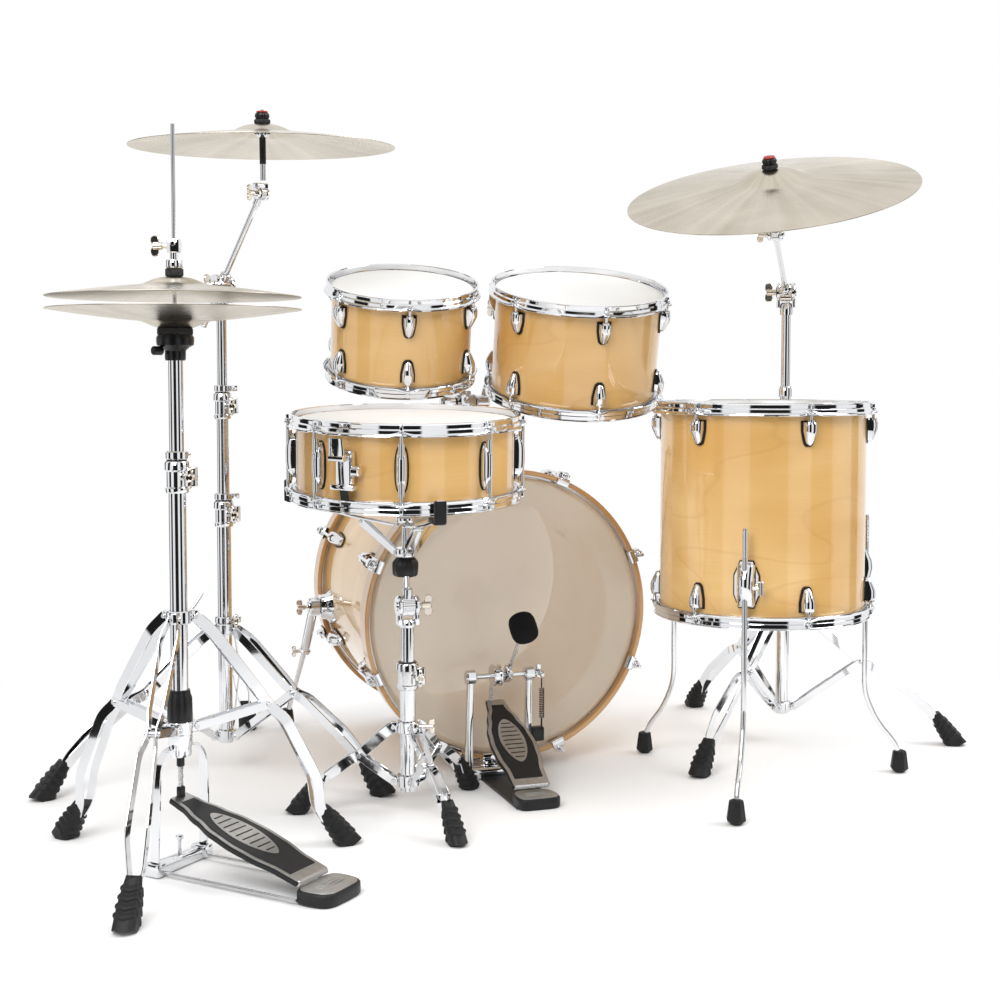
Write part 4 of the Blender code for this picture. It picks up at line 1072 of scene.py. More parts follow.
def stepped_tube(stand):
    """An upper tube in two widths, for a stand without a middle tube."""
    column = stand.column
    solids = [pipe(column, 0.335, SECOND_CLAMP, SLIM_TUBE)]
    solids.append(pipe(column, SECOND_CLAMP - 0.002, stand.pivot.z - 0.028, THIN_TUBE))
    solids += stand.lock(FIRST_CLAMP + 0.0024, SLIM_TUBE)
    low, high, outer = SECOND_CLAMP - 0.010, SECOND_CLAMP + 0.010, SLIM_TUBE + 0.002
    step = [(THIN_TUBE, low), (outer, low), (outer, SECOND_CLAMP + 0.004), (0.0108, high), (THIN_TUBE, high)]
    solids.append(turned(step, frame_at(column), 32))
    return solids


def boom_fork(stand, tube):
    """The neck and ratchet on top of the upper tube, with the boom's wing bolt."""
    body = stand.name + "_upper"
    top = stand.pivot.z
    neck = [
        (0, top - 0.044), (0.0120, top - 0.044), (0.0130, top - 0.038),
        (0.0120, top - 0.026), (0.0090, top - 0.020), (0, top - 0.020),
    ]
    fork = [turned(neck, frame_at(stand.column), 32), *ratchet_cheeks(stand.pivot, stand.swing, 0.0196)]
    piece(stand.name + "_upper_tube", CHROME, body, tube + fork, [stand.name + "_stand_upper_tube"])
    bolt = frame_at(stand.pivot - stand.swing * 0.0170, UP, -stand.swing)
    piece(stand.name + "_boom_wing", WING, body, wing_bolt(bolt, 0.010, 1.15))


def boom_arm(stand):
    """The boom: a rod through its toothed hub, grooved where it sticks out behind."""
    pivot, end = stand.pivot, stand.end
    lean = (end - pivot).normalized()
    tail = pivot - lean * 0.085
    arm = [rod(tail, end, 0.0052, 24), toothed_hub(pivot, stand.swing, 0.0102, 0.0172)]
    arm.append(rod(pivot - lean * 0.0165, pivot + lean * 0.026, 0.0098, 24, 0.0018))
    for share in (0.18, 0.52, 0.86):
        spot = tail.lerp(pivot, share * 0.7)
        arm.append(rod(spot - lean * 0.0012, spot + lean * 0.0012, 0.0057, 24))
    arm.append(ball(frame_at(tail, lean, stand.swing), 0.0058, 20, 0.6))
    arm.append(toothed_hub(end, stand.swing, 0.0056, 0.0106))
    arm.append(rod(end - lean * 0.022, end - lean * 0.006, 0.0070, 24))
    piece(stand.name + "_boom", CHROME, stand.name + "_boom", arm, [stand.name + "_boom_arm"])


def cymbal_tilter(stand, seat, peak):
    """The tilter with its threaded rod, the sleeve and nut on it, and the felts that hold the cymbal."""
    name, body, end = stand.name, stand.name + "_tilter", stand.end
    solids = ratchet(end, stand.swing, 0.0140, 0.0104)
    bridge = frame_at(end + stand.normal * 0.0135, stand.normal, stand.swing)
    solids.append(block(bridge, 0.027, 0.012, 0.0095, 0.0016))
    solids.append(pin(seat, (0, 0, -0.058), (0, 0, -0.022), 0.0052, 24))
    solids.append(pin(seat, (0, 0, -0.030), (0, 0, peak + 0.0255), 0.0030, 16))
    cup = [(0.0030, 0.45), (0.0060, 0.42), (0.0118, 0.50), (0.0124, 0.56), (0.0030, 0.56)]
    solids.append(turned([(r, peak * share) for r, share in cup], seat, 32))
    piece(name + "_tilter", CHROME, body, solids, [name + "_cymbal_tilter"])
    out = square_to(stand.normal) if abs(stand.swing.z) > 0.5 else -stand.swing
    piece(name + "_tilter_wing", WING, body, wing_bolt(frame_at(end + out * 0.0120, UP, out), 0.010, 0.85))
    nut = [washer(seat, -0.030, peak * 0.42, 0.0056, 0.0031, 0.0006)]
    nut.append(washer(seat, peak + 0.0090, peak + 0.0195, 0.0118, 0.0032, 0.0018))
    for step in range(12):
        angle = math.tau * step / 12
        spot = seat @ Vector((0.0112 * math.cos(angle), 0.0112 * math.sin(angle), peak + 0.0143))
        nut.append(ball(frame_at(spot, stand.normal), 0.0016, 8, 2.2))
    piece(name + "_top_nut", PLASTIC, body, nut)
    ring = washer(seat, peak + 0.0195, peak + 0.0225, 0.0100, 0.0032, 0.0010)
    piece(name + "_top_nut_ring", RED, body, [ring])
    felts = [washer(seat, peak * 0.56, peak - 0.0016, 0.0135, 0.0034)]
    felts.append(washer(seat, peak + 0.0010, peak + 0.0085, 0.0140, 0.0034))
    piece(name + "_felts", FELT, body, felts)


def boom_stand(name, first_leg, has_middle, wing_side):
    """A cymbal stand from its floor tube to the nut on top of its cymbal."""
    stand = BoomStand(name, first_leg, wing_side)
    boom_base(stand)
    boom_fork(stand, boom_middle(stand) if has_middle else stepped_tube(stand))
    boom_arm(stand)
    seat = frame_at(stand.centre, stand.normal)
    radius = max((corner - stand.centre).length for corner in corners_of(name + "_cymbal"))
    scale = radius / CRASH_RADIUS
    cymbal_tilter(stand, seat, 0.038 * scale)
    cymbal(name + "_cymbal", name + "_plate", seat, radius, 0.058 * scale, 0.016 * scale, 0.022 * scale)


# ---- Pedals -------------------------------------------------------------------------------------------
# A footboard's width, as a share of its widest, at these shares of its length from the hinge.
BOARD_SHAPE = (
    (0.0, 0.78), (0.14, 0.80), (0.32, 0.96), (0.46, 1.0),
    (0.60, 0.93), (0.76, 0.70), (0.90, 0.47), (1.0, 0.40),
)


def board_outline(length, width, inset=0.0, start=0.0, end=1.0):
    """A footboard's outline: wide in the middle, narrow at the toe. X runs from the hinge to the toe."""
    side = []
    steps = 26
    for step in range(steps + 1):
        t = start + (end - start) * step / steps
        for (t0, w0), (t1, w1) in zip(BOARD_SHAPE, BOARD_SHAPE[1:]):
            if t0 <= t <= t1:
                blend = (t - t0) / (t1 - t0)
                share = w0 + (w1 - w0) * blend * blend * (3 - 2 * blend)
        side.append((t * length, share * width / 2 - inset))
    return side + [(x, -y) for x, y in reversed(side)]


def footboard(name, body, hinge, toe, across, width, node):
    """A black casting with a silver top: a ribbed grip in its middle, and a hinge barrel at its heel."""
    along = (toe - hinge).normalized()
    normal = along.cross(across)
    place = frame_at(hinge, normal if normal.z > 0 else -normal, along)
    length = (toe - hinge).length + 0.010
    black = [plate(board_outline(length, width), moved(place, 0, 0, -0.0045), 0.0075, 0.0012)]
    panel = board_outline(length, width, 0.0078, 0.07, 0.93)
    black.append(plate(panel, moved(place, 0, 0, 0.0036), 0.0012, 0.0003))
    silver = [plate(board_outline(length, width, 0.0012), moved(place, 0, 0, 0.0026), 0.0014, 0.0004)]
    middle = length * 0.50
    lens = [(middle + x, y) for x, y in oval(length * 0.25, width * 0.27, 36, 1.15)]
    silver.append(plate(lens, moved(place, 0, 0, 0.0044), 0.0012, 0.0003))
    for step in range(-4, 5):
        share = step / 4.6
        half = width * 0.235 * math.sqrt(1 - share * share)
        spot = moved(place, middle + share * length * 0.225, 0, 0.0056)
        black.append(block(spot, 0.0022, half * 2 * 0.86, 0.0010, 0.0003))
    barrel = rod(hinge - across * width * 0.36, hinge + across * width * 0.36, 0.0044, 24)
    piece(name + "_board", BOARD_BLACK, body, black, [node])
    piece(name + "_board_top", BOARD_SILVER, body, silver)
    piece(name + "_hinge_pin", STEEL, body, [barrel])


def heel_plate(name, centre, along, width, length):
    """The heel block that a footboard hinges on: a black base with a silver top."""
    outline = []
    for x, y in oval(length / 2, width / 2, 32, 0.45):
        outline.append((x, y * (1 - 0.10 * max(0, x) / (length / 2))))
    place = frame_at(centre, UP, along)
    piece(name + "_heel_base", BOARD_BLACK, "kit_base", [plate(outline, place, 0.0190, 0.0025)])
    small = [(x * 0.90, y * 0.90) for x, y in outline]
    top = [plate(small, moved(place, 0, 0, 0.0186), 0.0012, 0.0004)]
    for step in (-1, 0, 1):
        top.append(block(moved(place, length * 0.12 * step, 0, 0.0200), 0.0020, width * 0.5, 0.0010, 0.0003))
    piece(name + "_heel_top", BOARD_SILVER, "kit_base", top)


def chain(bottom, top, axis, pitch=0.0062):
    """A bicycle-type chain: rollers between pairs of link plates."""
    solids = []
    count = max(2, round((top - bottom).length / pitch))
    line = (top - bottom).normalized()
    for step in range(count + 1):
        centre = bottom.lerp(top, step / count)
        solids.append(rod(centre - axis * 0.0034, centre + axis * 0.0034, 0.0021, 12))
        if step < count:
            middle = bottom.lerp(top, (step + 0.5) / count)
            offset = 0.0028 if step % 2 else 0.0020
            for side in (-1, 1):
                place = frame_at(middle + axis * side * offset - axis * 0.0004, axis, line)
                solids.append(plate(oval(pitch * 0.78, 0.0026, 16, 0.8), place, 0.0008, 0.0002))
    return solids


POST_REACH = 0.055  # from the bass pedal's middle to its posts


def pedal_posts(hinge, shaft):
    """The bass pedal's floor plate, its two posts with their bearings, and the clamp that grips the hoop."""
    base_y = shaft.y + 0.005
    half = [(0.100, 0.038), (0.118, 0.026)]
    outline = [(-0.112, -0.038), *[(x, -y) for x, y in half], *half[::-1], (-0.112, 0.038)]
    floor_plate = frame_at(Vector((hinge.x, (hinge.y + base_y) / 2 - 0.008, 0)), UP, FRONT)
    metal_plate = plate(outline, floor_plate, 0.0050, 0.0008)
    piece("bass_pedal_floor_plate", BOARD_BLACK, "kit_base", [metal_plate], ["bass_pedal_frame"])
    foot = frame_at(Vector((hinge.x, base_y, 0)))
    chrome = [block(moved(foot, 0, 0, 0.0100), 0.118, 0.028, 0.0180, 0.004)]
    chrome.append(block(moved(foot, 0, 0.022, 0.0080), 0.046, 0.042, 0.0090, 0.002))
    chrome.append(block(moved(foot, 0, 0.034, 0.0230), 0.040, 0.010, 0.0220, 0.002))
    for side in (-1, 1):
        low = Vector((hinge.x + side * POST_REACH * 1.03, base_y, 0.012))
        top = shaft + RIGHT * side * POST_REACH
        rings = []
        for step in range(13):
            t = step / 12
            centre = low.lerp(top, t) + FRONT * 0.003 * math.sin(math.pi * t)
            outline = oval(0.0072 - 0.0012 * t, 0.0092 - 0.0020 * t, 20, 0.75)
            rings.append([centre + RIGHT * x + FRONT * y for x, y in outline])
        chrome.append(lofted(rings))
        chrome.append(rod(top - RIGHT * 0.0085, top + RIGHT * 0.0085, 0.0128, 32, 0.0016))
        chrome.append(rod(top - RIGHT * 0.0100, top + RIGHT * 0.0100, 0.0086, 24, 0.0012))
    piece("bass_pedal_posts", CHROME, "kit_base", chrome)
    bolt = frame_at(Vector((hinge.x - 0.036, base_y + 0.030, 0.026)), UP, -RIGHT)
    piece("bass_pedal_hoop_wing", WING, "kit_base", wing_bolt(bolt, 0.020, 0.9))


def beater(shaft):
    """The pedal's axle with its cam, the beater's rod and its felt head."""
    lean_angle = math.radians(41)
    lean = Vector((0, -math.sin(lean_angle), math.cos(lean_angle)))
    strike = Vector((0, math.cos(lean_angle), math.sin(lean_angle)))
    hub = Vector((shaft.x + 0.014, shaft.y, shaft.z))
    head_middle = hub + lean * 0.130
    moving = [rod(shaft - RIGHT * (POST_REACH + 0.004), shaft + RIGHT * (POST_REACH + 0.024), 0.0044, 24)]
    moving.append(block(frame_at(hub + lean * 0.004, lean, RIGHT), 0.0150, 0.0200, 0.0300, 0.0035))
    moving.append(rod(hub - lean * 0.020, head_middle, 0.0033, 20))
    screw = frame_at(hub + lean * 0.010 - strike * 0.012, strike, RIGHT)
    moving.append(block(screw, 0.0055, 0.0055, 0.0120, 0.0006))
    cam = shaft - RIGHT * 0.008
    for side in (-1, 1):
        flange = frame_at(cam + RIGHT * (side * 0.0062 - 0.0012), RIGHT, FRONT)
        moving.append(plate(oval(0.0205, 0.0205, 36), flange, 0.0024, 0.0005))
    moving.append(rod(cam - RIGHT * 0.0075, cam + RIGHT * 0.0075, 0.0165, 30))
    arm = shaft + RIGHT * (POST_REACH + 0.018)
    moving.append(block(frame_at(arm - FRONT * 0.010 + UP * 0.002), 0.0060, 0.0300, 0.0110, 0.0020))
    moving.append(rod(arm - UP * 0.008, arm + UP * 0.016, 0.0050, 20))
    piece("bass_pedal_beater_shaft", CHROME, "bass_beater", moving, ["bass_pedal_beater"])
    half = [(0.0170, 0.0215), (0.0215, 0.0190), (0.0235, 0.0130)]
    profile = [(0, -0.0215), *[(r, -z) for r, z in half], (0.0240, 0), *half[::-1], (0, 0.0215)]
    felt = turned(profile, frame_at(head_middle, strike), 40)
    piece("bass_pedal_beater_head", BEATER_FELT, "bass_beater", [felt])


def pedal_spring():
    """The return spring on its mount: a coil with a short straight wire above and below it."""
    low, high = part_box("bass_pedal_spring")
    line = Vector(((low.x + high.x) / 2, (low.y + high.y) / 2, 0))
    coil = []
    per_turn = 14
    steps = 17 * per_turn
    for step in range(steps + 1):
        angle = math.tau * step / per_turn
        height = low.z + 0.016 + (high.z - low.z - 0.034) * step / steps
        coil.append(line + RIGHT * 0.0042 * math.cos(angle) + FRONT * 0.0042 * math.sin(angle) + UP * height)
    solids = [wire(coil, 0.0009, 6)]
    solids.append(wire([line + UP * (high.z - 0.018), line + UP * high.z], 0.0012, 8))
    solids.append(wire([line + UP * low.z, line + UP * (low.z + 0.016)], 0.0016, 8))
    made = piece("bass_pedal_spring_coil", PLASTIC, "kit_base", solids, ["bass_pedal_spring"])
    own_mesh(made)
    mount = frame_at(Vector((line.x - 0.006, line.y + 0.008, low.z - 0.014)))
    piece("bass_pedal_spring_mount", PLASTIC, "kit_base", [block(mount, 0.0240, 0.0160, 0.0260, 0.003)])


def bass_pedal():
    """The bass drum pedal: footboard, heel, posts, beater, chain and spring."""
    hinge = pivot_of("bass_footboard_press")
    shaft = pivot_of("bass_beater_strike")
    _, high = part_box("bass_pedal_footboard")
    toe = Vector((hinge.x, high.y - 0.002, high.z - 0.004))
    footboard("bass_pedal", "bass_footboard", hinge, toe, RIGHT, 0.084, "bass_pedal_footboard")
    heel_plate("bass_pedal", Vector((hinge.x, hinge.y - 0.022, 0.0)), FRONT, 0.076, 0.060)
    pedal_posts(hinge, shaft)
    beater(shaft)
    low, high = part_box("bass_pedal_chain")
    middle = (low + high) / 2
    links = chain(Vector((middle.x, middle.y, low.z + 0.002)), Vector((middle.x, middle.y, high.z)), RIGHT)
    piece("bass_pedal_chain_links", STEEL, "bass_chain", links, ["bass_pedal_chain"])
    pedal_spring()


# ---- Hi-hat -------------------------------------------------------------------------------------------
HIHAT_CLAMP = 0.598  # height of the hi-hat base tube's clamp
HIHAT_SEAT = 0.743  # height of the underside of the bottom cymbal's seat
HIHAT_WIDTH = 0.053  # from the column to the pedal frame's uprights
LEVER_BENDS = ((0.006, 0.378), (0.016, 0.388), (0.026, 0.402))  # reach from the tube, and height


def hihat_base(column, across, along):
    """The tripod, the base tube with its cone, clamp and boot, and the frame that the pedal hangs in."""
    tripod("hihat", column, 247, HIHAT_TRIPOD)
    collar, wing = clamp(column, HIHAT_CLAMP, 0.0182, -20)
    cone = [
        (TUBE - 0.0016, 0.166), (0.0150, 0.166), (0.0165, 0.170), (0.0165, 0.180),
        (0.0178, 0.186), (0.0178, 0.199), (TUBE, 0.200), (TUBE - 0.0016, 0.200),
    ]
    base = [pipe(column, 0.190, HIHAT_CLAMP - 0.010, TUBE), *collar, turned(cone, frame_at(column), 36)]
    piece("hihat_base_tube", CHROME, "kit_base", base, ["hihat_base"])
    piece("hihat_base_wing", WING, "kit_base", wing)
    boot = [
        (TUBE + 0.0002, 0.2175), (0.0182, 0.2175), (0.0186, 0.222), (0.0180, 0.252), (0.0158, 0.258),
        (0.0150, 0.264), (TUBE + 0.0002, 0.264),
    ]
    plastic = [turned(boot, frame_at(column), 36), bush(column, HIHAT_CLAMP, 0.0182, SLIM_TUBE + 0.0004)]
    piece("hihat_boot", PLASTIC, "kit_base", plastic)
    piece("hihat_pedal_frame", CHROME, "kit_base", pedal_frame(column, across, along) + [leg_lever(column)])
    rails = []
    for side in (-1, 1):
        start = column + across * side * 0.048 + UP * 0.0070
        rails.append(wire([start, start + along * 0.245], 0.0023, 12))
    piece("hihat_radius_rods", STEEL, "kit_base", rails)


def leg_lever(column):
    """The bent lever that locks the legs' collar."""
    path = [column + heading(20) * (TUBE + reach) + UP * height for reach, height in LEVER_BENDS]
    return wire(rounded(path, 0.006), 0.0024)


def pedal_frame(column, across, along):
    """Two bent uprights on a cross bar, with the screw that sets the spring."""
    solids = []
    bends = ((0.012, 0.181), (0.034, 0.178), (0.050, 0.158), (HIHAT_WIDTH, 0.100))
    for side in (-1, 1):
        path = [column + across * side * reach + UP * height for reach, height in bends]
        path.append(column + across * side * HIHAT_WIDTH - along * 0.004 + UP * 0.012)
        solids.append(swept(rounded(path, 0.014), flat_section(0.0034, 0.0150), across))
    cross = frame_at(column - along * 0.006 + UP * 0.0095, UP, across)
    solids.append(block(cross, 0.116, 0.0230, 0.0170, 0.0030))
    for side in (-1, 1):
        solids.append(block(moved(cross, side * 0.052, 0.0, 0.001), 0.0180, 0.0300, 0.0190, 0.0030))
    screw = cross @ Vector((0.002, 0, 0))
    solids.append(rod(screw, screw + UP * 0.034, 0.0030, 16))
    solids.append(rod(screw + UP * 0.030, screw + UP * 0.037, 0.0058, 20, 0.0016))
    return solids


def hihat_tube(column):
    """The upper tube with its memory lock, and the tilting seat of the bottom cymbal."""
    upper = [pipe(column, 0.402, HIHAT_SEAT + 0.003, SLIM_TUBE - 0.0002)]
    upper += memory_lock(column, HIHAT_CLAMP + 0.0025, SLIM_TUBE, 60)
    piece("hihat_tube", CHROME, "hihat_tube", upper, ["hihat_upper_tube"])
    profile = [
        (0.0055, 0), (0.0140, 0), (0.0150, 0.003), (0.0150, 0.014), (0.0200, 0.019), (0.0262, 0.022),
        (0.0270, 0.027), (0.0270, 0.033), (0.0250, 0.0365), (0.0055, 0.0365),
    ]
    knob = beside(column, heading(200), 0.020, HIHAT_SEAT + 0.014)
    seat = turned([(r, HIHAT_SEAT + height) for r, height in profile], frame_at(column), 40)
    tilt_screw = pin(knob, (0, 0, 0), (0.016, 0, 0), 0.0065, 20, 0.0016)
    piece("hihat_seat", PLASTIC, "hihat_tube", [seat, tilt_screw])


def hihat_cymbals(column):
    """Two cymbals face to face, the lower one on its felt."""
    bottom, top = pivot_of("hihat_bottom_spin"), pivot_of("hihat_top_spin")
    radius = max((corner - top).length for corner in corners_of("hihat_top_cymbal"))
    felt = washer(frame_at(column), HIHAT_SEAT + 0.0367, bottom.z - 0.0262, 0.0255, 0.0058)
    piece("hihat_seat_felt", FELT, "hihat_tube", [felt])
    cymbal("hihat_bottom_cymbal", "hihat_bottom", frame_at(bottom, -UP), radius, 0.048, 0.012, 0.016)
    cymbal("hihat_top_cymbal", "hihat_top", frame_at(top), radius, 0.048, 0.012, 0.016)


def hihat_rod(column, across):
    """The pull rod with the clutch that holds the top cymbal, and the chain at its foot."""
    place = frame_at(column)
    peak = pivot_of("hihat_top_spin").z + 0.028
    rod_low, rod_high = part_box("hihat_pull_rod")
    pull = [rod(column + UP * (rod_low.z + 0.052), column + UP * rod_high.z, 0.0031, 20, 0.001)]
    bore, low, high = 0.0032, peak + 0.012, peak + 0.024
    collar = [
        (bore, low), (0.0112, low), (0.0122, low + 0.0015),
        (0.0122, high - 0.0015), (0.0112, high), (bore, high),
    ]
    pull.append(turned(collar, place, 40))
    sleeve = [(bore, high), (0.0060, high), (0.0060, high + 0.030), (bore, high + 0.030)]
    pull.append(turned(sleeve, place, 28))
    clutch = frame_at(column + UP * (peak + 0.0440), UP, -heading(-18))
    pull.append(block(clutch, 0.0190, 0.0150, 0.0200, 0.0020))
    pull.append(pin(clutch, (0, -0.011, 0.003), (0, 0.011, 0.003), 0.0034, 16))
    piece("hihat_rod", CHROME, "hihat_rod", pull, ["hihat_pull_rod"])
    piece("hihat_clutch_wing", WING, "hihat_rod", wing_bolt(moved(clutch, 0.006, 0, 0), 0.016, 0.95))
    felts = [washer(place, peak + 0.0006, peak + 0.0118, 0.0130, 0.0033)]
    felts.append(washer(place, peak - 0.0105, peak - 0.0022, 0.0115, 0.0033))
    piece("hihat_clutch_felts", FELT, "hihat_rod", felts)
    foot = column + UP * rod_low.z
    ends = [rod(foot + UP * 0.044, foot + UP * 0.060, 0.0058, 20, 0.0014)]
    ends.append(block(frame_at(foot + UP * 0.006, UP, across), 0.0105, 0.0090, 0.0170, 0.0016))
    piece("hihat_chain_ends", PLASTIC, "hihat_rod", ends)
    piece("hihat_chain_links", STEEL, "hihat_rod", chain(foot + UP * 0.006, foot + UP * 0.046, across))


def hihat():
    """The hi-hat stand with its pedal and both cymbals."""
    column = column_of("hihat_upper_tube")
    across = axis_of("hihat_pedal_press")
    along = Vector((across.y, -across.x, 0))
    if along.y > 0:
        along = -along
    hihat_base(column, across, along)
    hinge = pivot_of("hihat_pedal_press")
    heel_plate("hihat_pedal", Vector((hinge.x, hinge.y, 0)) + along * 0.030, along, 0.094, 0.062)
    toe = column + along * 0.004 + UP * 0.100
    footboard("hihat_pedal", "hihat_pedal", hinge, toe, across, 0.092, "hihat_footboard")
    hihat_tube(column)
    hihat_cymbals(column)
    hihat_rod(column, across)


# ---- Snare stand --------------------------------------------------------------------------------------
SNARE_CLAMP = 0.252  # height of the snare stand's clamp
NECK = 0.3105  # height of the neck under its tilter


def snare_base(column):
    """The tripod and the floor tube with its clamp."""
    tripod("snare_stand", column, 279, SNARE_TRIPOD)
    collar, wing = clamp(column, SNARE_CLAMP, 0.0182, -20, 0.044)
    tube = pipe(column, 0.040, SNARE_CLAMP - 0.010, TUBE)
    piece("snare_stand_tube", CHROME, "kit_base", [tube, *collar], ["snare_stand_base"])
    piece("snare_stand_wing", WING, "kit_base", wing)
    ends = [bush(column, SNARE_CLAMP, 0.0182, SLIM_TUBE + 0.0004), tube_cap(column, 0.040)]
    piece("snare_stand_bushes", PLASTIC, "kit_base", ends)
    lock = beside(column, heading(-20), TUBE + 0.008, SNARE_TRIPOD.upper)
    piece("snare_leg_lock_wing", WING, "kit_base", wing_bolt(lock, 0.014, 0.8))


def snare_tube(column, pivot):
    """The sliding tube with its neck and tilter."""
    tube = pipe(column, 0.142, NECK + 0.0015, SLIM_TUBE - 0.0002)
    neck = [(0, 0), (0.0120, 0), (0.0130, 0.002), (0.0130, 0.0075), (0.0100, 0.0125), (0, 0.0125)]
    neck = turned([(r, NECK + height) for r, height in neck], frame_at(column), 32)
    fork = ratchet_cheeks(pivot, RIGHT, 0.0178)
    piece("snare_tilter", CHROME, "snare_tube", [tube, neck, *fork], ["snare_stand_upper_tube"])
    bolt = frame_at(pivot + RIGHT * 0.0170, UP, RIGHT)
    piece("snare_tilter_wing", WING, "snare_tube", wing_bolt(bolt, 0.012, 1.1))


def basket_core(pivot, hub, down):
    """The stem from the tilter through the basket's two collars."""
    core = frame_at(hub, -down)
    solids = [toothed_hub(pivot, RIGHT, 0.0102, 0.0158), rod(pivot, hub, 0.0058, 24)]
    solids.append(rod(pivot - down * 0.010, pivot - down * 0.030, 0.0085, 24, 0.0015))
    for low, high, radius in ((-0.004, 0.010, 0.0165), (0.052, 0.064, 0.0145)):
        rim, bore = radius - 0.0015, 0.0060
        ring = [(bore, low), (rim, low), (radius, low + 0.002), (radius, high - 0.002), (rim, high), (bore, high)]
        solids.append(turned(ring, core, 32))
    solids.append(rod(hub, hub - down * 0.070, 0.0056, 24))
    return solids


def basket_arm(hub, rest, out, down):
    """One arm of the basket with its link, its rivets and the rubber that grips the hoop."""
    side = out.cross(down)
    rim = SNARE.radius + 0.0225
    shoulder = hub + out * 0.014 - down * 0.048
    bend = rest + out * 0.085 + down * 0.034
    wrist = rest + out * (rim - 0.016) + down * 0.0100
    lip = rest + out * (rim + 0.001) + down * 0.0050
    finger = rest + out * (rim + 0.002) - down * 0.026
    chrome = [swept(rounded([shoulder, bend, wrist, lip, finger], 0.010), flat_section(0.0130, 0.0034), side)]
    link = [hub + out * 0.016 - down * 0.003, hub + out * 0.074 - down * 0.052]
    for offset in (-0.0062, 0.0062):
        chrome.append(swept([point + side * offset for point in link], flat_section(0.0022, 0.0110), side))
    rivets = [rod(spot - side * 0.0085, spot + side * 0.0085, 0.0030, 14) for spot in (*link, shoulder)]
    place = frame_at(lip, -down, out)
    grips = [block(moved(place, 0.0005, 0, 0.012), 0.0085, 0.0190, 0.036, 0.0022)]
    grips.append(block(moved(place, -0.016, 0, -0.0035), 0.034, 0.0190, 0.0080, 0.0022))
    return chrome, rivets, grips


def basket_nut(hub, down):
    """The fluted nut under the basket."""
    outline = []
    for step in range(60):
        angle = math.tau * step / 60
        reach = 0.0215 + 0.0008 * math.cos(10 * angle)
        outline.append((reach * math.cos(angle), reach * math.sin(angle)))
    nut = frame_at(hub + down * 0.036, -down)
    rings = []
    for height, size in ((0, 0.86), (0.003, 0.97), (0.010, 1.0), (0.022, 1.0), (0.030, 0.72), (0.031, 0.40)):
        rings.append([nut @ Vector((x * size, y * size, height)) for x, y in outline])
    piece("snare_basket_nut", PLASTIC, "snare", [lofted(rings)])


def snare_stand():
    """The snare drum's stand, from its feet to the basket that holds the drum."""
    pivot = pivot_of("snare_tilt")
    column = Vector((pivot.x, pivot.y, 0))
    snare_base(column)
    snare_tube(column, pivot)
    down = -SNARE.axis
    rest = SNARE.place.translation + down * (SNARE.depth + GAP)
    hub = rest + down * 0.092
    basket, rivets, grips = basket_core(pivot, hub, down), [], []
    for degrees in thirds(150):
        out = SNARE.place.to_3x3() @ heading(degrees)
        for found, added in zip((basket, rivets, grips), basket_arm(hub, rest, out, down)):
            found.extend(added)
    piece("snare_basket_arms", CHROME, "snare", basket, ["snare_basket"])
    piece("snare_basket_rivets", SATIN, "snare", rivets)
    piece("snare_basket_grips", RUBBER, "snare", grips)
    basket_nut(hub, down)


# ---- Snare fittings -----------------------------------------------------------------------------------
STRAINER_TURN = math.radians(226)  # where the strainer is round the snare drum
STRAINER_DROP, BUTT_DROP = 0.072, 0.092  # how far the strainer and the butt plate are below the top rim


def strainer_body(strainer, butt):
    """The strainer's housing with its knob, and the butt plate opposite it."""
    solids = [block(moved(strainer, 0.0100, 0, 0), 0.0190, 0.0290, 0.0620, 0.0060)]
    solids.append(block(moved(strainer, 0.0160, 0, -0.027), 0.0150, 0.0420, 0.0085, 0.0025))
    knob = moved(strainer, 0.0110, 0.020, -0.002)
    solids.append(pin(knob, (0, -0.008, 0), (0, 0.006, 0), 0.0085, 28, 0.0018))
    solids.append(block(moved(butt, 0.0090, 0, 0), 0.0170, 0.0360, 0.0300, 0.0040))
    for side in (-1, 1):
        solids.append(pin(butt, (0.016, side * 0.010, 0), (0.0195, side * 0.010, 0), 0.0040, 18))
    piece("snare_strainer", CHROME, "snare", solids)


def strainer_lever(strainer):
    """The throw-off lever, curved away from the housing."""
    place = frame_at(pivot_of("strainer_throw"), SNARE.axis, strainer.to_3x3() @ RIGHT)
    rings = []
    for step in range(9):
        t = step / 8
        centre = Vector((0.0015 + 0.003 * t * t, 0, 0.002 + 0.028 * t))
        outline = oval(0.0030 - 0.0008 * t, 0.0138 - 0.002 * t, 18, 0.6)
        rings.append([place @ (centre + Vector((a, b, 0))) for a, b in outline])
    lever = [pin(place, (0, -0.0135, 0), (0, 0.0135, 0), 0.0055, 24), lofted(rings)]
    piece("snare_lever", CHROME, "strainer_lever", lever, ["snare_strainer_lever"])


def snare_straps(strainer, butt):
    """The straps from the strainer and the butt plate down to the wires."""
    straps = []
    for place, start, drop in ((strainer, -0.030, STRAINER_DROP), (butt, -0.014, BUTT_DROP)):
        bottom = drop - SNARE.depth + 0.0105
        bends = ((0.0170, start), (0.0150, start - 0.006), (0.0110, bottom + 0.001), (-0.0260, bottom))
        path = rounded([place @ Vector((reach, 0, height)) for reach, height in bends], 0.008)
        straps.append(swept(path, flat_section(0.0150, 0.0006, 0.0002), place.to_3x3() @ FRONT))
    piece("snare_straps", PLASTIC, "snare", straps)


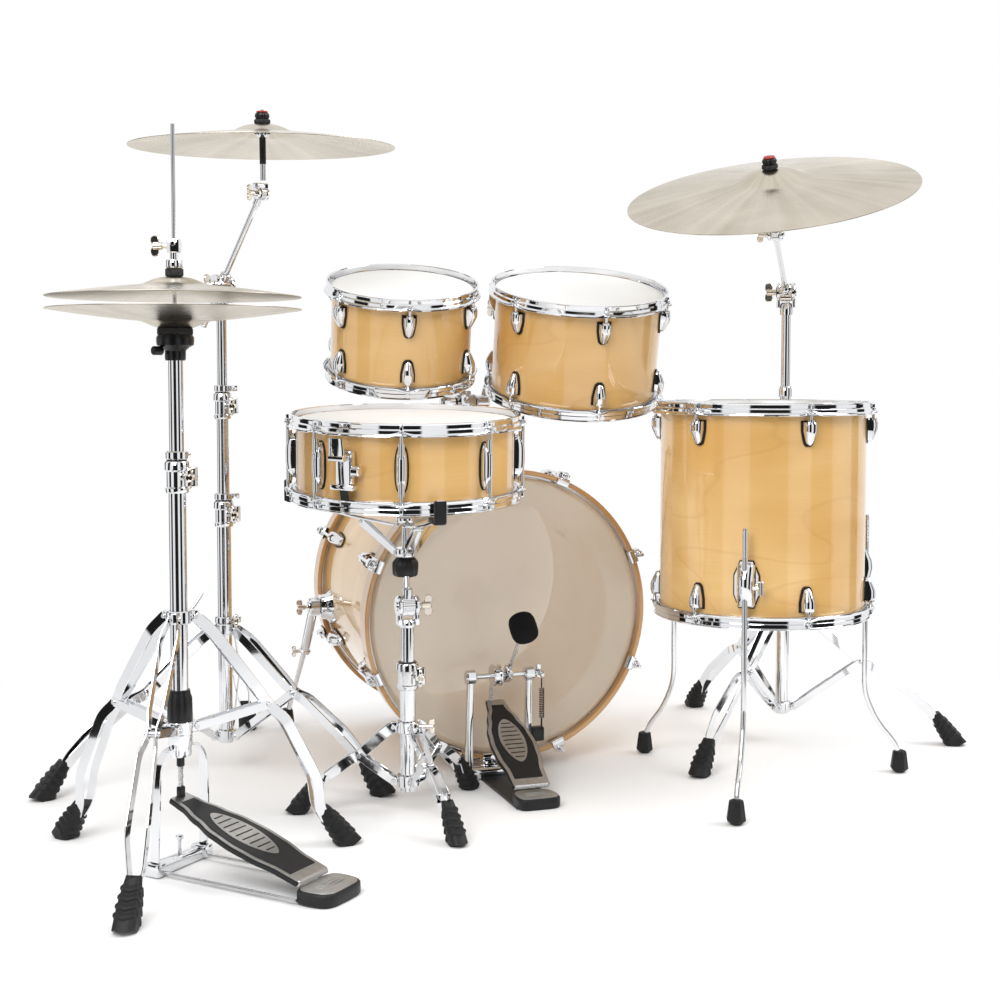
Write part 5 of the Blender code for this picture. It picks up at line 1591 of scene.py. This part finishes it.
def snare_wires():
    """Twenty coiled wires between two end plates, under the lower head."""
    under = moved(SNARE.place, 0, 0, 0.0066 - SNARE.depth) @ Matrix.Rotation(STRAINER_TURN, 4, "Z")
    half_length, steps, coil = 0.142, 180, 0.0006
    coils = []
    for strand in range(20):
        offset = (strand - 9.5) * 0.0021
        path = []
        for step in range(steps + 1):
            turn = step * 1.9
            x = half_length * (2 * step / steps - 1)
            path.append(under @ Vector((x, offset + coil * math.cos(turn), coil * math.sin(turn))))
        coils.append(wire(path, 0.0003, 4))
    for side in (-1, 1):
        coils.append(block(moved(under, side * 0.146, 0, 0), 0.0120, 0.0440, 0.0012, 0.0003))
    piece("snare_wire_coils", WIRES, "snare", coils, ["snare_wires"])


def snare_fittings():
    """The strainer, its lever and straps, the butt plate and the coiled wires below."""
    strainer = SNARE.on_side(SNARE.place, STRAINER_TURN, 0.0, STRAINER_DROP)
    butt = SNARE.on_side(SNARE.place, STRAINER_TURN + math.pi, 0.0, BUTT_DROP)
    strainer_body(strainer, butt)
    strainer_lever(strainer)
    snare_straps(strainer, butt)
    snare_wires()


# ---- Tom holder, legs and spurs -----------------------------------------------------------------------
SHELL_TOP = 0.5395  # height of the bass drum's shell under the tom holder
POST = 0.0109  # radius of the tom holder's post
TOM_MOUNT_DROP = 0.090  # from a rack tom's top rim to the middle of its mount


def post_bracket(column):
    """The cast socket on top of the bass drum."""
    base = []
    for height, size in ((-0.006, 1.0), (0.004, 1.0), (0.010, 0.86), (0.022, 0.62)):
        middle = column + UP * (SHELL_TOP + height)
        base.append([middle + RIGHT * x * size + FRONT * y * size for x, y in oval(0.033, 0.043, 32, 0.7)])
    bore, top = POST + 0.0005, 0.5655
    socket = [(bore, SHELL_TOP), (0.0165, SHELL_TOP), (0.0165, top - 0.0015), (0.0150, top), (bore, top)]
    piece("tom_post_bracket", CHROME, "kit_base", [lofted(base), turned(socket, frame_at(column), 32)])
    bolt = beside(column, heading(160), 0.012, 0.556)
    piece("tom_post_bracket_wing", WING, "kit_base", wing_bolt(bolt, 0.018, 1.0))


def tom_post(column, head, span):
    """The post with its memory lock, and the head that clamps both L-rods."""
    solids = [pipe(column, 0.515, head.z - 0.010, POST), *memory_lock(column, 0.5668, POST, 200)]
    solids.append(block(frame_at(head), span - 0.029, 0.0300, 0.0330, 0.0060))
    under = [(0, -0.026), (0.0150, -0.026), (0.0160, -0.022), (0.0160, -0.008), (0, -0.008)]
    cap = [(0, 0.014), (0.0130, 0.014), (0.0120, 0.022), (0, 0.023)]
    for profile in (under, cap):
        solids.append(turned([(r, head.z + height) for r, height in profile], frame_at(column), 32))
    piece("tom_post", CHROME, "tom_post", solids, ["tom_holder_post"])


def l_rod(pivot, mount, down, side):
    """The bent rod from the clamp head up through a tom's mount, grooved where the mount grips it."""
    line = mount @ Vector((0.037, 0, 0))
    top, bend = line - down * 0.045, line + down * 0.048
    solids = [wire(rounded([top, bend, pivot], 0.022, 8), 0.0056, 8)]
    for step in range(7):
        spot = top + down * (0.006 + 0.0105 * step)
        solids.append(rod(spot, spot + down * 0.0022, 0.0062, 16, 0.0003))
    out = RIGHT * side
    solids.append(rod(pivot - out * 0.0135, pivot + out * 0.012, 0.0142, 32, 0.0022))
    solids.append(rod(pivot + out * 0.010, pivot + out * 0.0150, 0.0090, 24, 0.0012))
    return solids


def tom_arm(drum, pivot, side, angle, word):
    """A tom's L-rod and the suspension mount that it holds the drum by."""
    mount = drum.on_side(drum.place, math.radians(angle), 0, TOM_MOUNT_DROP)
    arm = l_rod(pivot, mount, -drum.axis, side)
    arm.append(block(moved(mount, 0.0350, 0, 0), 0.0240, 0.0250, 0.0300, 0.0045))
    arm.append(block(moved(mount, 0.0190, 0, 0), 0.0080, 0.0330, 0.0420, 0.0025))
    half = drum.depth / 2 - 0.012
    middle = TOM_MOUNT_DROP - drum.depth / 2
    for offset in (-0.013, 0.013):
        rail = [(0.0165, 1), (0.0135, 0.72), (0.0135, -0.72), (0.0165, -1)]
        path = [mount @ Vector((reach, offset, middle + half * share)) for reach, share in rail]
        arm.append(swept(rounded(path, 0.010), flat_section(0.0045, 0.0030), mount.to_3x3() @ FRONT))
    piece(f"tom_arm_{word}", CHROME, drum.body, arm, [f"tom_holder_arm_{word}"])
    rubbers = []
    for end in (half, -half):
        rubbers.append(block(moved(mount, 0.0145, 0, middle + end), 0.0140, 0.0400, 0.0090, 0.0030))
    piece(f"tom_mount_rubbers_{word}", RUBBER, drum.body, rubbers)
    bolt = moved(mount, 0.0420, 0, 0.004)
    piece(f"tom_mount_wing_{word}", WING, drum.body, wing_bolt(bolt, 0.016, 1.05))


def tom_holder():
    """The post on the bass drum, its clamp head, and an arm for each tom."""
    left, right = pivot_of("small_tom_tilt"), pivot_of("large_tom_tilt")
    head = (left + right) / 2
    column = Vector((head.x, head.y, 0))
    post_bracket(column)
    tom_post(column, head, (right - left).length)
    tom_arm(SMALL_TOM, left, -1, 52, "left")
    tom_arm(LARGE_TOM, right, 1, 120, "right")


def leg_bracket(number, place, out):
    """The bracket on the floor tom's shell that a leg slides through: gasket, casting and bolt."""
    name = f"floor_bracket_{number}"
    bracket = beside(place, out, FLOOR_TOM.radius + 0.0008, 0.376)
    outward = bracket @ SIDEWAYS
    half = [(0.0105, 0.0380), (0.0200, 0.0150), (0.0200, -0.0170), (0.0120, -0.0380)]
    outline = half + [(-y, z) for y, z in reversed(half)]
    gasket = plate([(y * 1.10, z * 1.05) for y, z in outline], moved(outward, 0, 0, -0.0004), 0.0022, 0.0006)
    piece(name + "_gasket", RUBBER, "kit_base", [gasket])
    rings = []
    for t in (0.0, 0.06, 0.30, 0.5, 0.72, 0.92, 1.0):
        bulge = math.sin(math.pi * min(1, 0.12 + t * 0.80)) ** 0.6
        ring = []
        for step in range(15):
            turn = math.pi * step / 14
            reach = 0.004 + 0.0300 * bulge * math.sin(turn) ** 0.7
            ring.append(bracket @ Vector((reach, 0.0150 * math.cos(turn), 0.034 - 0.068 * t)))
        rings.append(ring)
    flange = plate(outline, moved(outward, 0, 0, 0.0014), 0.0042, 0.0012)
    piece(name, CHROME, "kit_base", [flange, lofted(rings)])
    side = frame_at(bracket @ Vector((0.018, 0.010, -0.004)), UP, -out.cross(UP))
    bolt = [pin(side, (0, 0, 0), (0.018, 0, 0), 0.0036, 16)]
    bolt.append(pin(side, (0.016, 0, -0.012), (0.016, 0, 0.012), 0.0052, 20, 0.0016))
    piece(name + "_bolt", WING, "kit_base", bolt)


def floor_tom_leg(number, place, out):
    """A bent leg with a grooved top and a rubber foot."""
    line, foot = place + out * 0.2005, place + out * 0.272
    path = [line + UP * 0.468, line + UP * 0.150, line + out * 0.024 + UP * 0.098]
    path += [foot - out * 0.007 + UP * 0.052, foot + UP * 0.020]
    radius = 0.0047
    top = [(0, 0.4660), (radius, 0.4660), (0.0036, 0.4710), (0.0018, 0.4720), (0, 0.4720)]
    leg = [wire(rounded(path, 0.024, 7), radius, 20), turned(top, frame_at(line), 20)]
    for step in range(16):
        spot = line + UP * (0.424 + 0.0026 * step)
        leg.append(rod(spot, spot + UP * 0.0013, 0.0050, 20, 0.0003))
    body = f"floor_leg_{number}"
    piece(f"floor_tom_leg_{number}_rod", CHROME, body, leg, [f"floor_tom_leg_{number}"])
    tip = [
        (0, 0), (0.0085, 0), (0.0160, 0.0070), (0.0165, 0.0085),
        (0.0130, 0.0340), (0.0120, 0.0385), (0.0062, 0.0410), (0, 0.0410),
    ]
    piece(f"floor_tom_foot_{number}", RUBBER, body, [turned(tip, frame_at(foot), 8)])


def floor_tom_legs():
    centre = FLOOR_TOM.place.translation
    place = Vector((centre.x, centre.y, 0))
    for number, degrees in enumerate(thirds(234), 1):
        floor_tom_leg(number, place, heading(degrees))
        leg_bracket(number, place, heading(degrees))


def bass_spur(word, outward):
    """A spur that folds on the bass drum's shell: hub, sleeve, inner rod, rubber tip and bracket."""
    pivot = pivot_of(f"spur_{word}_fold")
    low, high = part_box(f"bass_drum_spur_{word}")
    tip_radius = 0.0135
    foot_x = low.x + tip_radius if outward.x < 0 else high.x - tip_radius
    foot = Vector((foot_x, high.y - tip_radius, 0.026))
    body = f"spur_{word}"
    leg = [rod(pivot - outward * 0.0055, pivot + outward * 0.0160, 0.0186, 32, 0.0025)]
    leg.append(rod(pivot + outward * 0.014, pivot + outward * 0.0190, 0.0110, 24, 0.0015))
    leg.append(rod(pivot + outward * 0.006, pivot.lerp(foot, 0.40), 0.0094, 28, 0.0012))
    leg.append(rod(pivot.lerp(foot, 0.385), pivot.lerp(foot, 0.415), 0.0118, 28, 0.0014))
    leg.append(rod(pivot.lerp(foot, 0.36), foot + UP * 0.004, 0.0054, 22))
    piece(f"bass_spur_{word}", CHROME, body, leg, [f"bass_drum_spur_{word}"])
    tip = [
        (0, 0.0002), (0.0060, 0.0002), (0.0130, 0.0090), (0.0138, 0.0130),
        (0.0112, 0.0350), (0.0095, 0.0400), (0, 0.0400),
    ]
    piece(f"bass_spur_tip_{word}", RUBBER, body, [turned(tip, frame_at(foot - UP * 0.026), 32)])
    bolt = frame_at(pivot.lerp(foot, 0.40) + outward * 0.008, UP, outward)
    piece(f"bass_spur_bolt_{word}", WING, body, wing_bolt(bolt, 0.010, 0.7))
    bracket = []
    for reach, size in ((-0.034, 1.25), (-0.026, 1.25), (-0.018, 0.98), (-0.0062, 0.92)):
        middle = pivot + outward * reach
        bracket.append([middle + FRONT * x * size + UP * y * size for x, y in oval(0.0200, 0.0260, 32, 0.75)])
    piece(f"bass_spur_bracket_{word}", CHROME, "kit_base", [lofted(bracket)])
    wing = frame_at(pivot + outward * 0.0150, UP, outward)
    piece(f"bass_spur_wing_{word}", WING, body, wing_bolt(wing, 0.014, 0.95))


# ---- Studio -------------------------------------------------------------------------------------------
def add_object(name, data):
    made = bpy.data.objects.new(name, data)
    bpy.context.scene.collection.objects.link(made)
    return made


def camera():
    """Seen from the drummer's side, a little to the left, at cymbal-stand height."""
    data = bpy.data.cameras.new("camera")
    data.lens = 54.58
    data.sensor_width = 36
    data.shift_y = -0.0386
    data.clip_start = 0.05
    made = add_object("camera", data)
    turn, tilt = math.radians(18.7), math.radians(3.44)
    forward = Vector((math.sin(turn) * math.cos(tilt), math.cos(turn) * math.cos(tilt), -math.sin(tilt)))
    made.location = (-0.9275, -2.5219, 0.729)
    made.rotation_euler = forward.to_track_quat("-Z", "Y").to_euler()
    bpy.context.scene.camera = made
    return forward


FLOOR_REACH = 1.5  # past this the pale floor has faded into the white studio


def floor_material():
    """Pale matt paint that fades to plain white at the floor's edge."""
    made = bpy.data.materials.new("studio_floor")
    made.use_nodes = True
    tree = made.node_tree
    shader = tree.nodes["Principled BSDF"]
    shader.inputs["Roughness"].default_value = 0.7
    shader.inputs["Specular IOR Level"].default_value = 0.1
    noise = add_node(tree, "ShaderNodeTexNoise", {"Scale": 1.5})
    ramp = add_node(tree, "ShaderNodeValToRGB", {"Fac": noise.outputs["Fac"]})
    set_stops(ramp, [(0.0, (0.93, 0.93, 0.93)), (1.0, (0.95, 0.95, 0.95))])
    feed(tree, shader.inputs["Base Color"], ramp.outputs["Color"])
    place = add_node(tree, "ShaderNodeTexCoord").outputs["Object"]
    reach = add_node(tree, "ShaderNodeVectorMath", {0: place}, operation="LENGTH").outputs["Value"]
    edge = {"Value": reach, "From Min": FLOOR_REACH * 0.60, "From Max": FLOOR_REACH * 0.98}
    far = add_node(tree, "ShaderNodeMapRange", edge).outputs["Result"]
    lit = add_node(tree, "ShaderNodeEmission").outputs["Emission"]
    fade = add_node(tree, "ShaderNodeMixShader", {"Fac": far, 1: shader.outputs["BSDF"], 2: lit})
    feed(tree, tree.nodes["Material Output"].inputs["Surface"], fade.outputs["Shader"])
    return made


def floor():
    """A pale round floor that takes the shadows and fades to white at its edge."""
    mesh = bpy.data.meshes.new("floor")
    rim = [heading(360 * step / 96) * FLOOR_REACH for step in range(96)]
    mesh.from_pydata(rim, [], [tuple(range(96))])
    mesh.materials.append(floor_material())
    placed = add_object("floor", mesh)
    placed.location.z = -0.0005


# Degrees clockwise from the camera, between which a dark flag stands.
FLAGS = ((-122, -104), (-74, -44), (-20, 24), (52, 78), (108, 128))
FLAG_EDGE = 0.005  # share of a whole turn over which a flag's edge fades
FLAG_TONE = 0.015


def flag_stops(towards_camera):
    """The flags as tones round the horizon, from 0 to 1 in a whole turn."""
    bands = [((low + towards_camera) % 360 / 360, (high + towards_camera) % 360 / 360) for low, high in FLAGS]
    stops = [(0.0, 1.0)]
    for low, high in sorted(bands):
        stops += [(low, 1.0), (low + FLAG_EDGE, FLAG_TONE), (high - FLAG_EDGE, FLAG_TONE), (high, 1.0)]
    return [(position, (tone, tone, tone)) for position, tone in stops]


def white_room(forward):
    world = bpy.data.worlds.new("studio")
    bpy.context.scene.world = world
    world.use_nodes = True
    tree = world.node_tree
    tree.nodes.clear()
    direction = add_node(tree, "ShaderNodeTexCoord").outputs["Generated"]
    split = add_node(tree, "ShaderNodeSeparateXYZ", {0: direction}).outputs
    angle = add_node(tree, "ShaderNodeMath", {0: split["X"], 1: split["Y"]}, operation="ARCTAN2").outputs[0]
    turn = add_node(tree, "ShaderNodeMath", {0: angle, 1: math.tau}, operation="FLOORED_MODULO").outputs[0]
    share = add_node(tree, "ShaderNodeMapRange", {"Value": turn, "From Max": math.tau}).outputs[0]
    flags = add_node(tree, "ShaderNodeValToRGB", {0: share})
    set_stops(flags, flag_stops(math.degrees(math.atan2(-forward.x, -forward.y))))
    rise = {"Value": split["Z"], "From Min": 0.60, "From Max": 0.72}
    above = add_node(tree, "ShaderNodeMapRange", rise, interpolation_type="SMOOTHSTEP").outputs[0]
    blend = {0: above, 6: flags.outputs[0], 7: (1, 1, 1, 1)}
    mix = add_node(tree, "ShaderNodeMix", blend, data_type="RGBA").outputs[2]
    lit = add_node(tree, "ShaderNodeBackground", {"Color": mix}).outputs[0]
    plain = add_node(tree, "ShaderNodeBackground", {"Color": (1, 1, 1, 1)}).outputs[0]
    seen = add_node(tree, "ShaderNodeLightPath").outputs["Is Camera Ray"]
    choose = add_node(tree, "ShaderNodeMixShader", {0: seen, 1: lit, 2: plain}).outputs[0]
    add_node(tree, "ShaderNodeOutputWorld", {"Surface": choose})


def soft_light(name, place, size, power):
    data = bpy.data.lights.new(name, "AREA")
    data.size = size
    data.energy = power
    made = add_object(name, data)
    made.location = place
    made.rotation_euler = (Vector((0, 0, 0.5)) - place).to_track_quat("-Z", "Y").to_euler()


# ---- All together -------------------------------------------------------------------------------------
forward = camera()
floor()
white_room(forward)
soft_light("key_light", Vector((-2.2, -2.6, 3.0)), 2.4, 105)
soft_light("fill_light", Vector((2.6, -1.2, 2.8)), 2.0, 60)
bpy.context.scene.view_settings.view_transform = "Standard"
drums()
boom_stand("crash", 314, True, -20)
boom_stand("ride", 335, False, -20)
hihat()
snare_stand()
snare_fittings()
bass_pedal()
tom_holder()
floor_tom_legs()
bass_spur("left", -RIGHT)
bass_spur("right", RIGHT)
